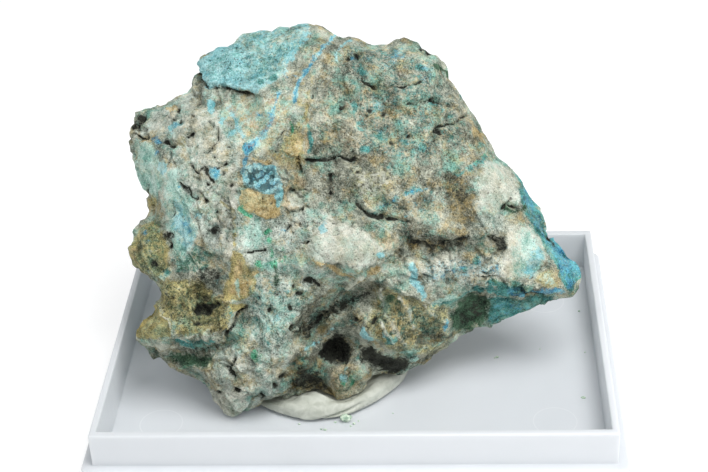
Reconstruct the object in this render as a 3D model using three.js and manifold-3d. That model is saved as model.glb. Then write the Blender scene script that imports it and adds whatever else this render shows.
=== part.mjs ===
// A decrespignyite specimen: a broken lump of copper-stained rock, held by a pad of putty
// in the shallow base of a white specimen box. Millimetres, +Z up, the origin under the
// middle of the box base.
import * as THREE from "three";
import { mergeVertices } from "three/addons/utils/BufferGeometryUtils.js";
import Module from "manifold-3d";

const wasm = await Module();
wasm.setup();

// Box base.
const INNER_WIDTH = 78;
const INNER_DEPTH = 54;
const SIDE_WALL = 1.1;
const FRONT_WALL = 1.3;
const RIM_HEIGHT = 8.3;
const FLOOR_THICKNESS = 1.2;
const LEDGE_WIDTH = 1.7;
const LEDGE_HEIGHT = 2.5;
const LEDGE_CORNER_RADIUS = 1.5;
const LEDGE_CORNER_STEPS = 5;

// Gap kept between pieces that touch.
const GAP = 0.3;

// Rock: where its middle stands, and how its broad face is turned and leant back.
const ROCK_MIDDLE = new THREE.Vector3(-0.3, -0.21, 27.94);
const ROCK_TURN = THREE.MathUtils.degToRad(4.24);
const ROCK_LEAN = THREE.MathUtils.degToRad(57.51);
const ROCK_ROLL = THREE.MathUtils.degToRad(-3.02);

// The rock's outline and relief are given as seen from this far in front of its middle,
// so what lies nearer than the middle is drawn in a little and what lies behind is let out.
const SIGHT_DISTANCE = 253;
const SIGHT_AXIS = new THREE.Vector2(0.3, -1.7);

// Rings of facets from the middle of each face of the rock out to its outline.
const ROCK_RINGS = 25;
const ROCK_HEART = new THREE.Vector2(-1.5, -1);

// The rings crowd toward the outline by these shares, more on the steep back.
const FRONT_CROWDING = 0.25;
const BACK_CROWDING = 0.8;

// Broken chips over the whole rock: the size of a chip, and how far it rises over a run of
// that size. No flat tilts further than the limit, in chip sizes from its middle. They grow
// rougher toward the back, which takes this much depth to double their relief.
const COARSE_CHIP = { size: 9, relief: 0.84, seed: 11 };
const FINE_CHIP = { size: 3.6, relief: 0.44, seed: 29 };
const CHIP_LIMIT = 0.6;
const ROUGHER_DEPTH = 14;

// Putty pad: an oval pat pressed on the floor, with a lip where a second fold lies on it.
// From its middle outward, each ring stands at a share of the radius and of the thickness.
// It gives way to the rock that is pressed into it, felt this far round each point.
const PUTTY_MIDDLE = new THREE.Vector2(-5, -3.5);
const PUTTY_LONG_RADIUS = 14.5;
const PUTTY_SHORT_RADIUS = 11.7;
const PUTTY_TURN = THREE.MathUtils.degToRad(35);
const PUTTY_THICKNESS = 3.4;
const PUTTY_LEAST_THICKNESS = 0.6;
const PUTTY_FEEL = 0.8;
const PUTTY_STEPS = 36;
const PUTTY_RINGS = [
  { radius: 0.2, height: 1 }, { radius: 0.4, height: 1 }, { radius: 0.58, height: 0.99 },
  { radius: 0.72, height: 0.97 }, { radius: 0.8, height: 0.94 }, { radius: 0.84, height: 0.72 },
  { radius: 0.93, height: 0.66 }, { radius: 0.985, height: 0.5 }, { radius: 1, height: 0.16 },
];
const PUTTY_SWELLS = [{ lobes: 3, share: 0.025, phase: 1 }, { lobes: 5, share: 0.015, phase: 0 }];

// Loose crumb of the pale green crust, lying on the floor in front of the putty: how far it
// is stretched each way, and how its corners lie between a least share of its radius and more.
const CRUMB_PLACE = new THREE.Vector2(-1.7, -16.2);
const CRUMB_RADIUS = 0.85;
const CRUMB_STRETCH = new THREE.Vector3(1.15, 0.8, 0.75);
const CRUMB_LEAST_SHARE = 0.78;
const CRUMB_SPREAD = 0.35;
const CRUMB_SEED = 5;
const CRUMB_GAP = 0.1;

// Finishes.
const POLYSTYRENE = { color: 0xf2f3f5, roughness: 0.35, metalness: 0 };
const COPPER_ROCK = { color: 0x8f9c8c, roughness: 0.9, metalness: 0 };
const PUTTY = { color: 0xd9d9d0, roughness: 0.7, metalness: 0 };
const PALE_CRUST = { color: 0xb9d8bd, roughness: 0.9, metalness: 0 };

// Outline of the rock, clockwise from its left corner: right, up, toward the front.
const OUTLINE = [
  [-35.5, 14.5, -4.5], [-34.0, 17.9, -5], [-31.0, 18.2, -5.5], [-28.0, 20.1, -5.5], [-26.0, 20.5, -5.5],
  [-24.8, 22.3, -6], [-24.9, 24.3, -6], [-24.0, 25.8, -6], [-22.0, 26.9, -6], [-19.1, 27.9, -6],
  [-18.0, 29.1, -6], [-14.9, 29.8, -6], [-13.0, 30.4, -6], [-12.4, 31.2, -6], [-8.4, 31.9, -6],
  [-5.6, 32.2, -6], [-3.0, 31.0, -6], [-2.3, 30.2, -6.5], [0.2, 30.3, -6], [3.4, 29.0, -6],
  [5.7, 28.4, -6], [8.1, 29.7, -6.5], [9.8, 29.4, -6.5], [12.3, 27.8, -6], [14.7, 26.2, -6],
  [15.5, 24.8, -6], [15.3, 23.2, -6], [17.0, 21.3, -6], [18.6, 18.1, -6], [20.2, 16.5, -6],
  [22.0, 13.8, -6], [22.6, 11.4, -5.5], [23.6, 10.1, -5.5], [25.6, 8.3, -5.5], [27.4, 6.4, -5],
  [28.6, 4.3, -5], [30.0, 1.0, -4.5], [31.1, -1.1, -4], [34.2, -4.0, -3.5], [36.2, -6.2, -3],
  [36.5, -7.8, -2.5], [36.0, -9.1, -2.5], [34.6, -10.7, -2.5], [32.7, -11.9, -3], [28.5, -13.2, -4],
  [25.4, -15.0, -4.5], [21.8, -15.5, -5], [19.0, -16.3, -5], [16.6, -18.3, -5], [15.3, -19.6, -5],
  [12.2, -21.6, -5], [9.3, -22.7, -5], [5.8, -23.5, -5], [3.6, -24.0, -4.5], [1.3, -26.0, -3.8],
  [-0.4, -27.2, -3.2], [-1.8, -27.8, -2.8], [-3.3, -27.2, -3.2], [-4.6, -26.4, -4], [-8.4, -26.4, -4.5],
  [-10.8, -27.5, -4], [-13.2, -27.8, -3.8], [-16.2, -28.7, -3.4], [-17.6, -29.8, -2.8],
  [-18.9, -30.3, -2.5], [-19.9, -30.3, -2.5], [-20.8, -29.5, -3], [-21.9, -27.9, -4],
  [-23.8, -25.3, -4.5], [-26.9, -24.0, -4.5], [-29.4, -22.5, -5], [-30.4, -21.7, -5],
  [-31.6, -19.5, -4], [-33.7, -18.5, -3], [-34.5, -17.2, -2.5], [-33.9, -15.3, -3],
  [-31.9, -14.0, -4], [-30.8, -11.2, -5], [-31.1, -9.5, -5], [-33.9, -7.3, -4], [-35.2, -6.1, -3.5],
  [-35.3, -3.8, -3.5], [-34.3, -2.8, -4], [-34.4, -1.0, -4], [-32.6, 0.5, -5], [-31.6, 2.4, -5.5],
  [-32.4, 4.5, -5], [-33.9, 7.6, -5], [-34.7, 12.0, -5],
];

// Relief of the face that is seen, by feature: right, up, toward the front.
const FRONT = {
  broadFace: [
    [0, 28, -0.6], [5, 26.4, -0.8], [9.2, 27.6, -2.4], [13.5, 24.8, -2], [6.5, 21, 2], [0, 18, 4.2],
    [8, 19.8, 2.4], [15.5, 19.5, -0.4], [12, 18.2, 1.5], [-1, 14, 5.8], [5, 13, 5], [11, 13.5, 3.8],
    [17, 15.5, 1.4], [20, 13, 0.2], [0, 8, 7], [6, 7.5, 6.2], [12, 8, 4.8], [15, 7, 3.4],
    [17.5, 8.5, 3], [20.5, 10.3, 1.4], [23.5, 8, 1], [-2, 3.5, 8], [8, 4, 6.5], [14, 3.5, 4.6],
    [18.5, 4, 3.6], [22, 3.5, 3.4], [26, 5, 0.5], [28, 2, -1.5],
  ],
  upperNotch: [[2.2, 23.4, 1.2], [3.4, 21.4, 0]],
  smallNotch: [[24.6, 2.5, 0.8]],
  uprightRidge: [
    [-6.8, 25, 1.6], [-6.5, 20, 4.2], [-6.3, 15.5, 6.4], [-6.5, 10.2, 7.6], [-6, 5, 8.4], [-3.8, 2.2, 8.6],
  ],
  blackDimple: [[3, 3, 5.6]],
  broadFaceFoot: [
    [4.5, 0.8, 7], [8, -0.8, 6.8], [12, -1.5, 6.2], [17, -2, 5], [21, -1.5, 4.6], [23.5, -3.2, 3.6],
  ],
  darkStep: [[9, -3.4, 4], [13, -4.2, 3], [17.5, -4, 2.8], [21, -4.4, 2.8]],
  shelf: [
    [11, -6.5, 4.4], [15, -6.8, 4.6], [19.5, -7.2, 4], [23.2, -6.8, 3.2], [12, -9.3, 3.4],
    [17, -9.5, 2.6], [20.5, -9.8, 2.2],
  ],
  rightLobe: [
    [26, 0, 2.2], [25.5, -4, 3], [28.5, -2, 1.6], [30.5, -5.5, 1.6], [27.5, -8.2, 2.6], [31.5, -8, 2.2],
    [29.8, -10.4, 1.8], [33.2, -9.8, 1.2], [33.5, -6.2, 0.2], [31.5, -2.6, -1.2], [24, -9.8, 2],
  ],
  underRightLobe: [
    [21.5, -11.2, -0.8], [19, -12, -1.8], [24.5, -12, -1.4], [28.5, -11.8, -1], [32, -11.3, -0.8],
    [18, -15, -3], [21.5, -14, -3.2],
  ],
  lowerRight: [
    [12.5, -12, 2.2], [14.5, -10.8, 2.6], [15.5, -13.2, 0.8], [8, -15, 2.6], [12, -15, 1.2],
    [14.5, -17, -1], [10.5, -17.8, 0.2], [8.2, -19.2, 0.8], [12, -20, -1.8],
  ],
  paleArc: [[2, -8.4, 2.6], [5, -8.6, 4.6], [9, -10.9, 3.8]],
  besideCreamLobe: [[6.5, -5.2, 4.4], [9.5, -5.6, 4.6], [8.5, -8, 4.9], [4.2, -7.2, 4.2]],
  creamLobe: [
    [-7.5, -1.5, 8.2], [-3.5, -0.5, 9.2], [1, -1, 8.8], [4.8, -2, 7.8], [7.2, -2.5, 6.4],
    [5.3, -4.2, 7.6], [-6, -4.8, 9.2], [-2.5, -4, 10.6], [1.2, -4.2, 10.8], [3.4, -5.9, 9.2],
    [0.2, -7.3, 9.6], [-3.2, -6.1, 9.4], [-7, -5.6, 7.4],
  ],
  underCreamLobe: [[0.4, -8.7, 2.6], [-3, -8.2, 4.4], [-7.5, -7.5, 6.2]],
  darkHollow: [
    [3, -10.4, -0.4], [-0.5, -10.6, -0.6], [-3.2, -12.6, -1.2], [-6.2, -15.6, -1.4], [-8.8, -18, 0],
    [1.5, -12.2, 0.2], [-1.6, -14.6, 0],
  ],
  hollowRib: [[-6.5, -19.2, 1.6], [-3, -16.3, 2.8], [0.8, -15.5, 3.1], [4, -17, 3.2], [6.2, -19.3, 2]],
  blackCavity: [[-3.4, -18.6, -3.8], [-2.2, -21, -5], [-1, -18.8, -3.2], [-4.5, -21, -3.2]],
  blackUnderside: [[2.5, -20.4, -1], [5.5, -21.8, -2.2], [8.5, -21.2, -1.8]],
  lowerBump: [
    [0.2, -21.6, 0.6], [-1.2, -23.6, 1.6], [-2.2, -25.8, 0.8], [2, -23.3, -0.8], [-5.6, -23.2, -0.8],
    [-7, -24.6, -1.6], [-9.5, -24, 0.4],
  ],
  speckledSlope: [
    [-9.5, -9.2, 5.2], [-6.6, -9.8, 4.4], [-5.2, -11.6, 4.2], [-8, -14, 5], [-10.3, -17.2, 4.6],
    [-13, -13, 5.8], [-15.5, -11, 6.2], [-14, -17.5, 5.2], [-10.4, -20.5, 4.6], [-16.8, -18, 3.6],
  ],
  foot: [
    [-13, -22, 5], [-11.5, -24.8, 3.2], [-17.5, -21.5, 4.8], [-21, -21.4, 3.2], [-19.5, -24.8, 3.6],
    [-15.5, -26.2, 2.6], [-12, -26.6, 0.4], [-18.6, -28.4, 1.4], [-22, -25, 1.6], [-24.6, -22.7, 0.8],
  ],
  oliveLedge: [
    [-30.2, -8.6, 1], [-26, -8.5, 2.6], [-21, -8, 3.4], [-28, -12.5, 4.6], [-25.5, -15.2, 4.4],
    [-20.5, -12.2, 4.8], [-20, -16.2, 6], [-24.5, -17.7, 6.4], [-28.8, -17.5, 5.6], [-31.5, -16.4, 3.8],
    [-33.2, -17, 0.6], [-30.3, -14.2, 3],
  ],
  ledgeHole: [[-23.6, -13.4, 0.8]],
  underLedge: [
    [-31, -19, -0.8], [-27.5, -19.6, -0.8], [-23.5, -19.7, -0.2], [-20.6, -19.2, 1.2],
    [-28, -21.4, -1.4], [-24.6, -21, -0.6],
  ],
  besideLedge: [[-17.2, -15.6, 1.8], [-18, -13, 3.4]],
  leftWall: [[-31.5, -2, 0.4], [-33, -5, -0.6], [-29.4, -2.2, 0.8], [-28.8, -5.4, 2.2], [-31.8, -6.8, 0]],
  paleStripe: [
    [-28.2, 8.5, 3.2], [-26.5, 2, 4.4], [-25.2, -2.5, 4.8], [-27.5, -4.2, 3.6], [-29.5, 3, 1.8],
    [-30.2, 8, 1.4],
  ],
  greenFacet: [[-24.5, -5.4, 3.2], [-22.6, -3.8, 4.6]],
  leftShoulder: [
    [-31.5, 14.5, 0.4], [-29.5, 17.6, -0.8], [-27, 14, 2.6], [-24.5, 17.5, 2], [-22.6, 12, 4.6],
    [-24, 6.5, 5], [-20.4, 5.5, 5.8], [-21.8, -0.5, 5.6], [-19, 0, 6.4], [-20, -5, 6.2], [-32.6, 9.5, -0.8],
  ],
  turquoiseTop: [
    [-22.8, 24, -2.4], [-22.2, 21.6, -0.6], [-18, 21.7, 1.4], [-14, 20.9, 2.8], [-11, 22.6, 2.2],
    [-9, 24.5, 1.4], [-18.6, 26.2, -1.8], [-12.5, 28.6, -2], [-7.5, 29.6, -2.2], [-3.6, 28.6, -1.4],
  ],
  underTurquoise: [[-20.5, 20.4, 0.2], [-16, 19.6, 1.4]],
  veinedFace: [
    [-18, 16, 3.8], [-14, 16.5, 4.4], [-13.2, 13.2, 5.2], [-16.8, 11.2, 5.4], [-10, 18, 3.9],
    [-8.8, 14.2, 5.6],
  ],
  grapePatch: [[-17.8, 8.6, 5], [-14, 8.5, 5.4], [-11.5, 7.6, 5.8]],
  tanBlocks: [[-12.5, 5, 6.8], [-16.5, 3, 6.8], [-9, 9, 6.8], [-8.5, 4.3, 8], [-10.6, 4.4, 7.2]],
  middle: [
    [-13, 0.8, 6.8], [-17.3, -1.5, 6.8], [-16.6, -4.5, 7.2], [-12.4, -2.8, 7.2], [-10, -1.2, 7.8],
    [-13, -6.6, 6.4], [-17.8, -7.5, 6.2], [-11.5, -7.6, 5.8],
  ],
};

// Relief of the face turned away: right, up, toward the front.
const BACK = {
  topSlope: [
    [-27, 15.5, -12], [-20, 22, -13], [-9, 26.5, -13], [3, 24.5, -13.5], [11, 22, -13.5], [17, 14, -13.5],
    [22.5, 6.5, -11.5],
  ],
  upperHump: [[-15, 12, -19.5], [-3, 14, -20.5], [8, 11, -18.5], [-26, 5, -14]],
  middle: [[-19, 0, -20.5], [-6, 2, -23.5], [6, 1, -20.5], [17, 0, -16], [24, -1, -11.5]],
  rightWedge: [[30.5, -5, -8], [23, -8, -11.5], [15, -9, -15]],
  lowerHump: [[-29, -7, -11.5], [-20, -10, -18.5], [-8, -9, -22], [4, -8.5, -19.5], [-26, -15, -10.5]],
  underside: [
    [-20, -19, -13], [-10, -18, -15.5], [0, -17.5, -15], [8, -16, -12.5], [-14, -23, -9.5],
    [-5, -22, -9.5], [3, -20.5, -9.5], [-19.5, -26, -6.8],
  ],
};

// Three small functions for repeatable irregularity: a hash of a grid cell, a direction
// drawn from it, and the tilted flats left where chips broke away.
function hash(x, y, z, seed) {
  const wave = Math.sin(x * 127.1 + y * 311.7 + z * 74.7 + seed * 19.3) * 43758.5453;
  return wave - Math.floor(wave);
}

function hashDirection(x, y, z, seed) {
  const direction = new THREE.Vector3();
  direction.set(hash(x, y, z, seed + 1), hash(x, y, z, seed + 2), hash(x, y, z, seed + 3));
  return direction.subScalar(0.5).normalize();
}

function chip(point, { size, relief, seed }) {
  const scaled = point.clone().divideScalar(size);
  const cell = scaled.clone().floor();
  let nearest = Infinity;
  let height = 0;
  for (let dx = -1; dx <= 1; dx += 1) {
    for (let dy = -1; dy <= 1; dy += 1) {
      for (let dz = -1; dz <= 1; dz += 1) {
        const [cx, cy, cz] = [cell.x + dx, cell.y + dy, cell.z + dz];
        const site = new THREE.Vector3(cx, cy, cz);
        site.x += hash(cx, cy, cz, seed + 4);
        site.y += hash(cx, cy, cz, seed + 5);
        site.z += hash(cx, cy, cz, seed + 6);
        const offset = scaled.clone().sub(site);
        const distance = offset.lengthSq();
        if (distance < nearest) {
          nearest = distance;
          height = offset.dot(hashDirection(cx, cy, cz, seed));
        }
      }
    }
  }
  return relief * THREE.MathUtils.clamp(height, -CHIP_LIMIT, CHIP_LIMIT);
}

// Twice the signed area of a flat triangle.
function turn(a, b, c) {
  return (b[0] - a[0]) * (c[1] - a[1]) - (b[1] - a[1]) * (c[0] - a[0]);
}

function insideCircle(a, b, c, p) {
  const rows = [a, b, c].map((v) => {
    const [dx, dy] = [v[0] - p[0], v[1] - p[1]];
    return [dx, dy, dx * dx + dy * dy];
  });
  return new THREE.Matrix3().set(...rows[0], ...rows[1], ...rows[2]).determinant() > 0;
}

// Joins scattered points into triangles, each point to its natural neighbours.
function triangulate(points) {
  const far = 1e4;
  const all = [...points, [-far, -far, 0], [far, -far, 0], [0, far, 0]];
  const count = points.length;
  let triangles = [[count, count + 1, count + 2]];
  for (let i = 0; i < count; i += 1) {
    const open = new Map();
    const kept = [];
    for (const triangle of triangles) {
      const [a, b, c] = triangle;
      if (!insideCircle(all[a], all[b], all[c], all[i])) {
        kept.push(triangle);
        continue;
      }
      for (const [from, to] of [[a, b], [b, c], [c, a]]) {
        if (!open.delete(`${to},${from}`)) {
          open.set(`${from},${to}`, [from, to]);
        }
      }
    }
    triangles = [...kept, ...[...open.values()].map(([from, to]) => [from, to, i])];
  }
  return triangles.filter((triangle) => triangle.every((index) => index < count));
}

// A relief is a faceted sheet through its points; it gives the height at any place on it.
function makeRelief(features) {
  const points = [...OUTLINE, ...Object.values(features).flat()];
  const facets = triangulate(points).map((triangle) => triangle.map((index) => points[index]));
  return (x, y) => {
    let best = -Infinity;
    let height = 0;
    for (const [a, b, c] of facets) {
      const whole = turn(a, b, c);
      const wa = turn([x, y], b, c) / whole;
      const wb = turn(a, [x, y], c) / whole;
      const wc = 1 - wa - wb;
      const least = Math.min(wa, wb, wc);
      if (least > best) {
        best = least;
        height = wa * a[2] + wb * b[2] + wc * c[2];
      }
      if (least >= 0) {
        break;
      }
    }
    return height;
  };
}

// Walks the outline at an even pace: a share of the way round gives a point and its height.
function makeOutlineWalk() {
  const corners = OUTLINE.map((point) => new THREE.Vector3(...point)).reverse();
  const path = new THREE.CurvePath();
  corners.forEach((corner, i) => {
    path.add(new THREE.LineCurve3(corner, corners[(i + 1) % corners.length]));
  });
  return (share) => path.getPointAt(share % 1);
}

// Six-sided rings of points from the heart of a face to the outline, ring k holding 6 k.
function ringIndex(ring, step) {
  return ring === 0 ? 0 : 1 + 3 * ring * (ring - 1) + (step % (6 * ring));
}

function ringTriangles() {
  const triangles = [];
  for (let ring = 1; ring <= ROCK_RINGS; ring += 1) {
    for (let side = 0; side < 6; side += 1) {
      for (let k = 0; k < ring; k += 1) {
        const outer = ringIndex(ring, side * ring + k);
        const outerNext = ringIndex(ring, side * ring + k + 1);
        const inner = ringIndex(ring - 1, side * (ring - 1) + k);
        triangles.push([inner, outer, outerNext]);
        if (k < ring - 1) {
          const innerNext = ringIndex(ring - 1, side * (ring - 1) + k + 1);
          triangles.push([inner, outerNext, innerNext]);
        }
      }
    }
  }
  return triangles;
}

// From the place where a point is seen to where it lies.
function lay(x, y, z) {
  const spread = 1 - z / SIGHT_DISTANCE;
  return new THREE.Vector3(
    SIGHT_AXIS.x + (x - SIGHT_AXIS.x) * spread,
    SIGHT_AXIS.y + (y - SIGHT_AXIS.y) * spread,
    z,
  );
}

// One face of the rock: its points, ring by ring, crowded so that steep flanks keep their
// facets small.
function rockFace(relief, crowding) {
  const outlineAt = makeOutlineWalk();
  const points = [];
  for (let ring = 0; ring <= ROCK_RINGS; ring += 1) {
    const even = ring / ROCK_RINGS;
    const reach = THREE.MathUtils.lerp(even, Math.sin((even * Math.PI) / 2), crowding);
    const count = Math.max(1, 6 * ring);
    for (let step = 0; step < count; step += 1) {
      const edge = outlineAt(step / count);
      const x = THREE.MathUtils.lerp(ROCK_HEART.x, edge.x, reach);
      const y = THREE.MathUtils.lerp(ROCK_HEART.y, edge.y, reach);
      const z = ring === ROCK_RINGS ? edge.z : relief(x, y);
      points.push(lay(x, y, z));
    }
  }
  return points;
}

function rockGeometry() {
  const front = rockFace(makeRelief(FRONT), FRONT_CROWDING);
  const back = rockFace(makeRelief(BACK), BACK_CROWDING);
  const rim = ringIndex(ROCK_RINGS, 0);
  const backIndex = (index) => (index >= rim ? index : front.length + index);
  const points = [...front, ...back.slice(0, rim)];
  const faces = ringTriangles();
  const index = [
    ...faces.flat(),
    ...faces.flatMap(([a, b, c]) => [backIndex(a), backIndex(c), backIndex(b)]),
  ];
  const geometry = new THREE.BufferGeometry().setFromPoints(points);
  geometry.setIndex(index);
  geometry.computeVertexNormals();
  const normals = geometry.getAttribute("normal");
  const positions = geometry.getAttribute("position");
  points.forEach((point, i) => {
    const normal = new THREE.Vector3().fromBufferAttribute(normals, i);
    const rougher = 1 + Math.max(0, -point.z) / ROUGHER_DEPTH;
    point.addScaledVector(normal, rougher * (chip(point, COARSE_CHIP) + chip(point, FINE_CHIP)));
    positions.setXYZ(i, point.x, point.y, point.z);
  });
  geometry.computeVertexNormals();
  return geometry;
}

// The rock's own frame: turned, leant back and rolled about its middle.
function makeRock() {
  const rock = new THREE.Mesh(rockGeometry(), new THREE.MeshStandardMaterial(COPPER_ROCK));
  rock.name = "decrespignyite_rock";
  rock.rotation.z = ROCK_ROLL;
  const lean = new THREE.Group();
  lean.rotation.x = ROCK_LEAN;
  lean.add(rock);
  const stand = new THREE.Group();
  stand.position.copy(ROCK_MIDDLE);
  stand.rotation.z = ROCK_TURN;
  stand.add(lean);
  stand.updateMatrixWorld(true);
  return { stand, rock };
}

// Manifold solid of a closed geometry, and back.
function toSolid(geometry) {
  const bare = geometry.clone();
  bare.deleteAttribute("normal");
  bare.deleteAttribute("uv");
  const merged = mergeVertices(bare);
  return new wasm.Manifold(
    new wasm.Mesh({
      numProp: 3,
      vertProperties: new Float32Array(merged.attributes.position.array),
      triVerts: new Uint32Array(merged.index.array),
    }),
  );
}

function toGeometry(solid) {
  const mesh = solid.getMesh();
  const geometry = new THREE.BufferGeometry();
  geometry.setAttribute("position", new THREE.BufferAttribute(mesh.vertProperties, 3));
  geometry.setIndex(new THREE.BufferAttribute(mesh.triVerts, 1));
  geometry.computeVertexNormals();
  return geometry;
}

function roundedSlab(width, depth, radius, height) {
  const [halfWidth, halfDepth] = [width / 2, depth / 2];
  const shape = new THREE.Shape();
  shape.moveTo(halfWidth, -halfDepth + radius);
  shape.absarc(halfWidth - radius, halfDepth - radius, radius, 0, Math.PI / 2);
  shape.absarc(-halfWidth + radius, halfDepth - radius, radius, Math.PI / 2, Math.PI);
  shape.absarc(-halfWidth + radius, -halfDepth + radius, radius, Math.PI, 1.5 * Math.PI);
  shape.absarc(halfWidth - radius, -halfDepth + radius, radius, 1.5 * Math.PI, 2 * Math.PI);
  return new THREE.ExtrudeGeometry(shape, {
    depth: height,
    bevelEnabled: false,
    curveSegments: LEDGE_CORNER_STEPS,
  });
}

// Box base: a low wall round a flat floor, with the ledge outside that a lid stands on.
function makeBoxBase() {
  const wallWidth = INNER_WIDTH + 2 * SIDE_WALL;
  const wallDepth = INNER_DEPTH + 2 * FRONT_WALL;
  const ledge = roundedSlab(
    wallWidth + 2 * LEDGE_WIDTH,
    wallDepth + 2 * LEDGE_WIDTH,
    LEDGE_CORNER_RADIUS,
    LEDGE_HEIGHT,
  );
  const wall = new THREE.BoxGeometry(wallWidth, wallDepth, RIM_HEIGHT);
  wall.translate(0, 0, RIM_HEIGHT / 2);
  const pocket = new THREE.BoxGeometry(INNER_WIDTH, INNER_DEPTH, RIM_HEIGHT);
  pocket.translate(0, 0, FLOOR_THICKNESS + RIM_HEIGHT / 2);
  const solid = toSolid(ledge).add(toSolid(wall)).subtract(toSolid(pocket));
  const base = new THREE.Mesh(toGeometry(solid), new THREE.MeshStandardMaterial(POLYSTYRENE));
  base.name = "box_base";
  return base;
}

// Height of the rock's underside over a place on the floor, the lowest of nine feelers.
function undersideOver(rock, x, y) {
  const caster = new THREE.Raycaster();
  const upward = new THREE.Vector3(0, 0, 1);
  let lowest = Infinity;
  for (const dx of [-PUTTY_FEEL, 0, PUTTY_FEEL]) {
    for (const dy of [-PUTTY_FEEL, 0, PUTTY_FEEL]) {
      caster.set(new THREE.Vector3(x + dx, y + dy, 0), upward);
      const [hit] = caster.intersectObject(rock);
      lowest = Math.min(lowest, hit ? hit.point.z : Infinity);
    }
  }
  return lowest;
}

// A point on top of the putty: its free height, or lower where the rock presses on it.
function puttyPoint(rock, bottom, angle, { radius, height }) {
  const swell = PUTTY_SWELLS.map(({ lobes, share, phase }) => share * Math.sin(lobes * angle + phase));
  const reach = radius * (1 + swell[0] + swell[1]);
  const place = new THREE.Vector2(Math.cos(angle), Math.sin(angle));
  place.multiply(new THREE.Vector2(PUTTY_LONG_RADIUS, PUTTY_SHORT_RADIUS));
  place.multiplyScalar(reach);
  place.rotateAround(new THREE.Vector2(), PUTTY_TURN);
  place.add(PUTTY_MIDDLE);
  const free = bottom + PUTTY_THICKNESS * height;
  const pressed = Math.min(free, undersideOver(rock, place.x, place.y) - GAP);
  const least = Math.min(free, bottom + PUTTY_LEAST_THICKNESS);
  return new THREE.Vector3(place.x, place.y, Math.max(pressed, least));
}

function makePutty(rock) {
  const bottom = FLOOR_THICKNESS + GAP;
  const points = [puttyPoint(rock, bottom, 0, { radius: 0, height: 1 })];
  for (const ring of PUTTY_RINGS) {
    for (let step = 0; step < PUTTY_STEPS; step += 1) {
      points.push(puttyPoint(rock, bottom, (2 * Math.PI * step) / PUTTY_STEPS, ring));
    }
  }
  const rimStart = 1 + PUTTY_STEPS * (PUTTY_RINGS.length - 1);
  for (const above of points.slice(rimStart)) {
    points.push(new THREE.Vector3(above.x, above.y, bottom));
  }
  points.push(new THREE.Vector3(PUTTY_MIDDLE.x, PUTTY_MIDDLE.y, bottom));
  const index = [];
  const last = points.length - 1;
  const base = rimStart + PUTTY_STEPS;
  for (let step = 0; step < PUTTY_STEPS; step += 1) {
    const next = (step + 1) % PUTTY_STEPS;
    index.push(0, 1 + step, 1 + next);
    PUTTY_RINGS.forEach((_, ring) => {
      const inner = 1 + PUTTY_STEPS * ring;
      const outer = inner + PUTTY_STEPS;
      index.push(inner + step, outer + step, outer + next);
      index.push(inner + step, outer + next, inner + next);
    });
    index.push(last, base + next, base + step);
  }
  const geometry = new THREE.BufferGeometry().setFromPoints(points);
  geometry.setIndex(index);
  geometry.computeVertexNormals();
  const putty = new THREE.Mesh(geometry, new THREE.MeshStandardMaterial(PUTTY));
  putty.name = "mounting_putty";
  return putty;
}

function makeCrumb() {
  const geometry = new THREE.IcosahedronGeometry(CRUMB_RADIUS, 1);
  const positions = geometry.getAttribute("position");
  const point = new THREE.Vector3();
  for (let i = 0; i < positions.count; i += 1) {
    point.fromBufferAttribute(positions, i);
    const [x, y, z] = point.toArray().map((value) => Math.round(value * 100));
    point.multiplyScalar(CRUMB_LEAST_SHARE + CRUMB_SPREAD * hash(x, y, z, CRUMB_SEED));
    point.multiply(CRUMB_STRETCH);
    positions.setXYZ(i, point.x, point.y, point.z);
  }
  geometry.computeBoundingBox();
  geometry.computeVertexNormals();
  const crumb = new THREE.Mesh(geometry, new THREE.MeshStandardMaterial(PALE_CRUST));
  crumb.name = "loose_crumb";
  const lift = FLOOR_THICKNESS + CRUMB_GAP - geometry.boundingBox.min.z;
  crumb.position.set(CRUMB_PLACE.x, CRUMB_PLACE.y, lift);
  return crumb;
}

const { stand, rock } = makeRock();
const group = new THREE.Group();
group.add(makeBoxBase(), makePutty(rock), stand, makeCrumb());

export default group;
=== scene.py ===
"""A decrespignyite specimen: copper-stained rock held by putty in the base of a specimen box.

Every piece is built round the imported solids, in metres. Sizes in the classes are in
millimetres, and MM turns them to metres.
"""

import logging
import math
from collections.abc import Sequence
from dataclasses import dataclass, field
from enum import Enum

import bmesh
import bpy
import numpy as np
from mathutils import Euler, Matrix, Vector


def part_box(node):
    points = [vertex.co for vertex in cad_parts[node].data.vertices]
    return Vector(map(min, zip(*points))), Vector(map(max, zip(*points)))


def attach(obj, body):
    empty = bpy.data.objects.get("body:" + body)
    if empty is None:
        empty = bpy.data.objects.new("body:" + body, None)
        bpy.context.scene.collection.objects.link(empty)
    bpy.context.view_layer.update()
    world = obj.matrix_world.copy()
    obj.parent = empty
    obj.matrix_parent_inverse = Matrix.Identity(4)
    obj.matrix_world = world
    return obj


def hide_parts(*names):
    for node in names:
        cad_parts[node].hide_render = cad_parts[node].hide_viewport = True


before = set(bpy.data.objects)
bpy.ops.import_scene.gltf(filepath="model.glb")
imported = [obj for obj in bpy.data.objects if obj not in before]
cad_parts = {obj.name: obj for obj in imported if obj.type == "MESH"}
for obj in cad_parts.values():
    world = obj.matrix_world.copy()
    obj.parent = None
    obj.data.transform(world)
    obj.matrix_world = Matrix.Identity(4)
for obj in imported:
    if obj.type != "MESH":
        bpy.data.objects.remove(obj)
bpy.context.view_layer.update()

LOG = logging.getLogger("specimen")
MM = 0.001
BODY = "root"
# Height of the floor inside the box base.
BOX_FLOOR = 1.2
# The direction in which the rock is seen, as degrees about each axis in turn.
VIEW_TURNS = ((4.24, "Z"), (57.51, "X"), (-3.02, "Z"))
# Farther away than anything on the rock.
FAR = 99.0
Place = tuple[float, float]
Spot = tuple[float, float, float]


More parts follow.
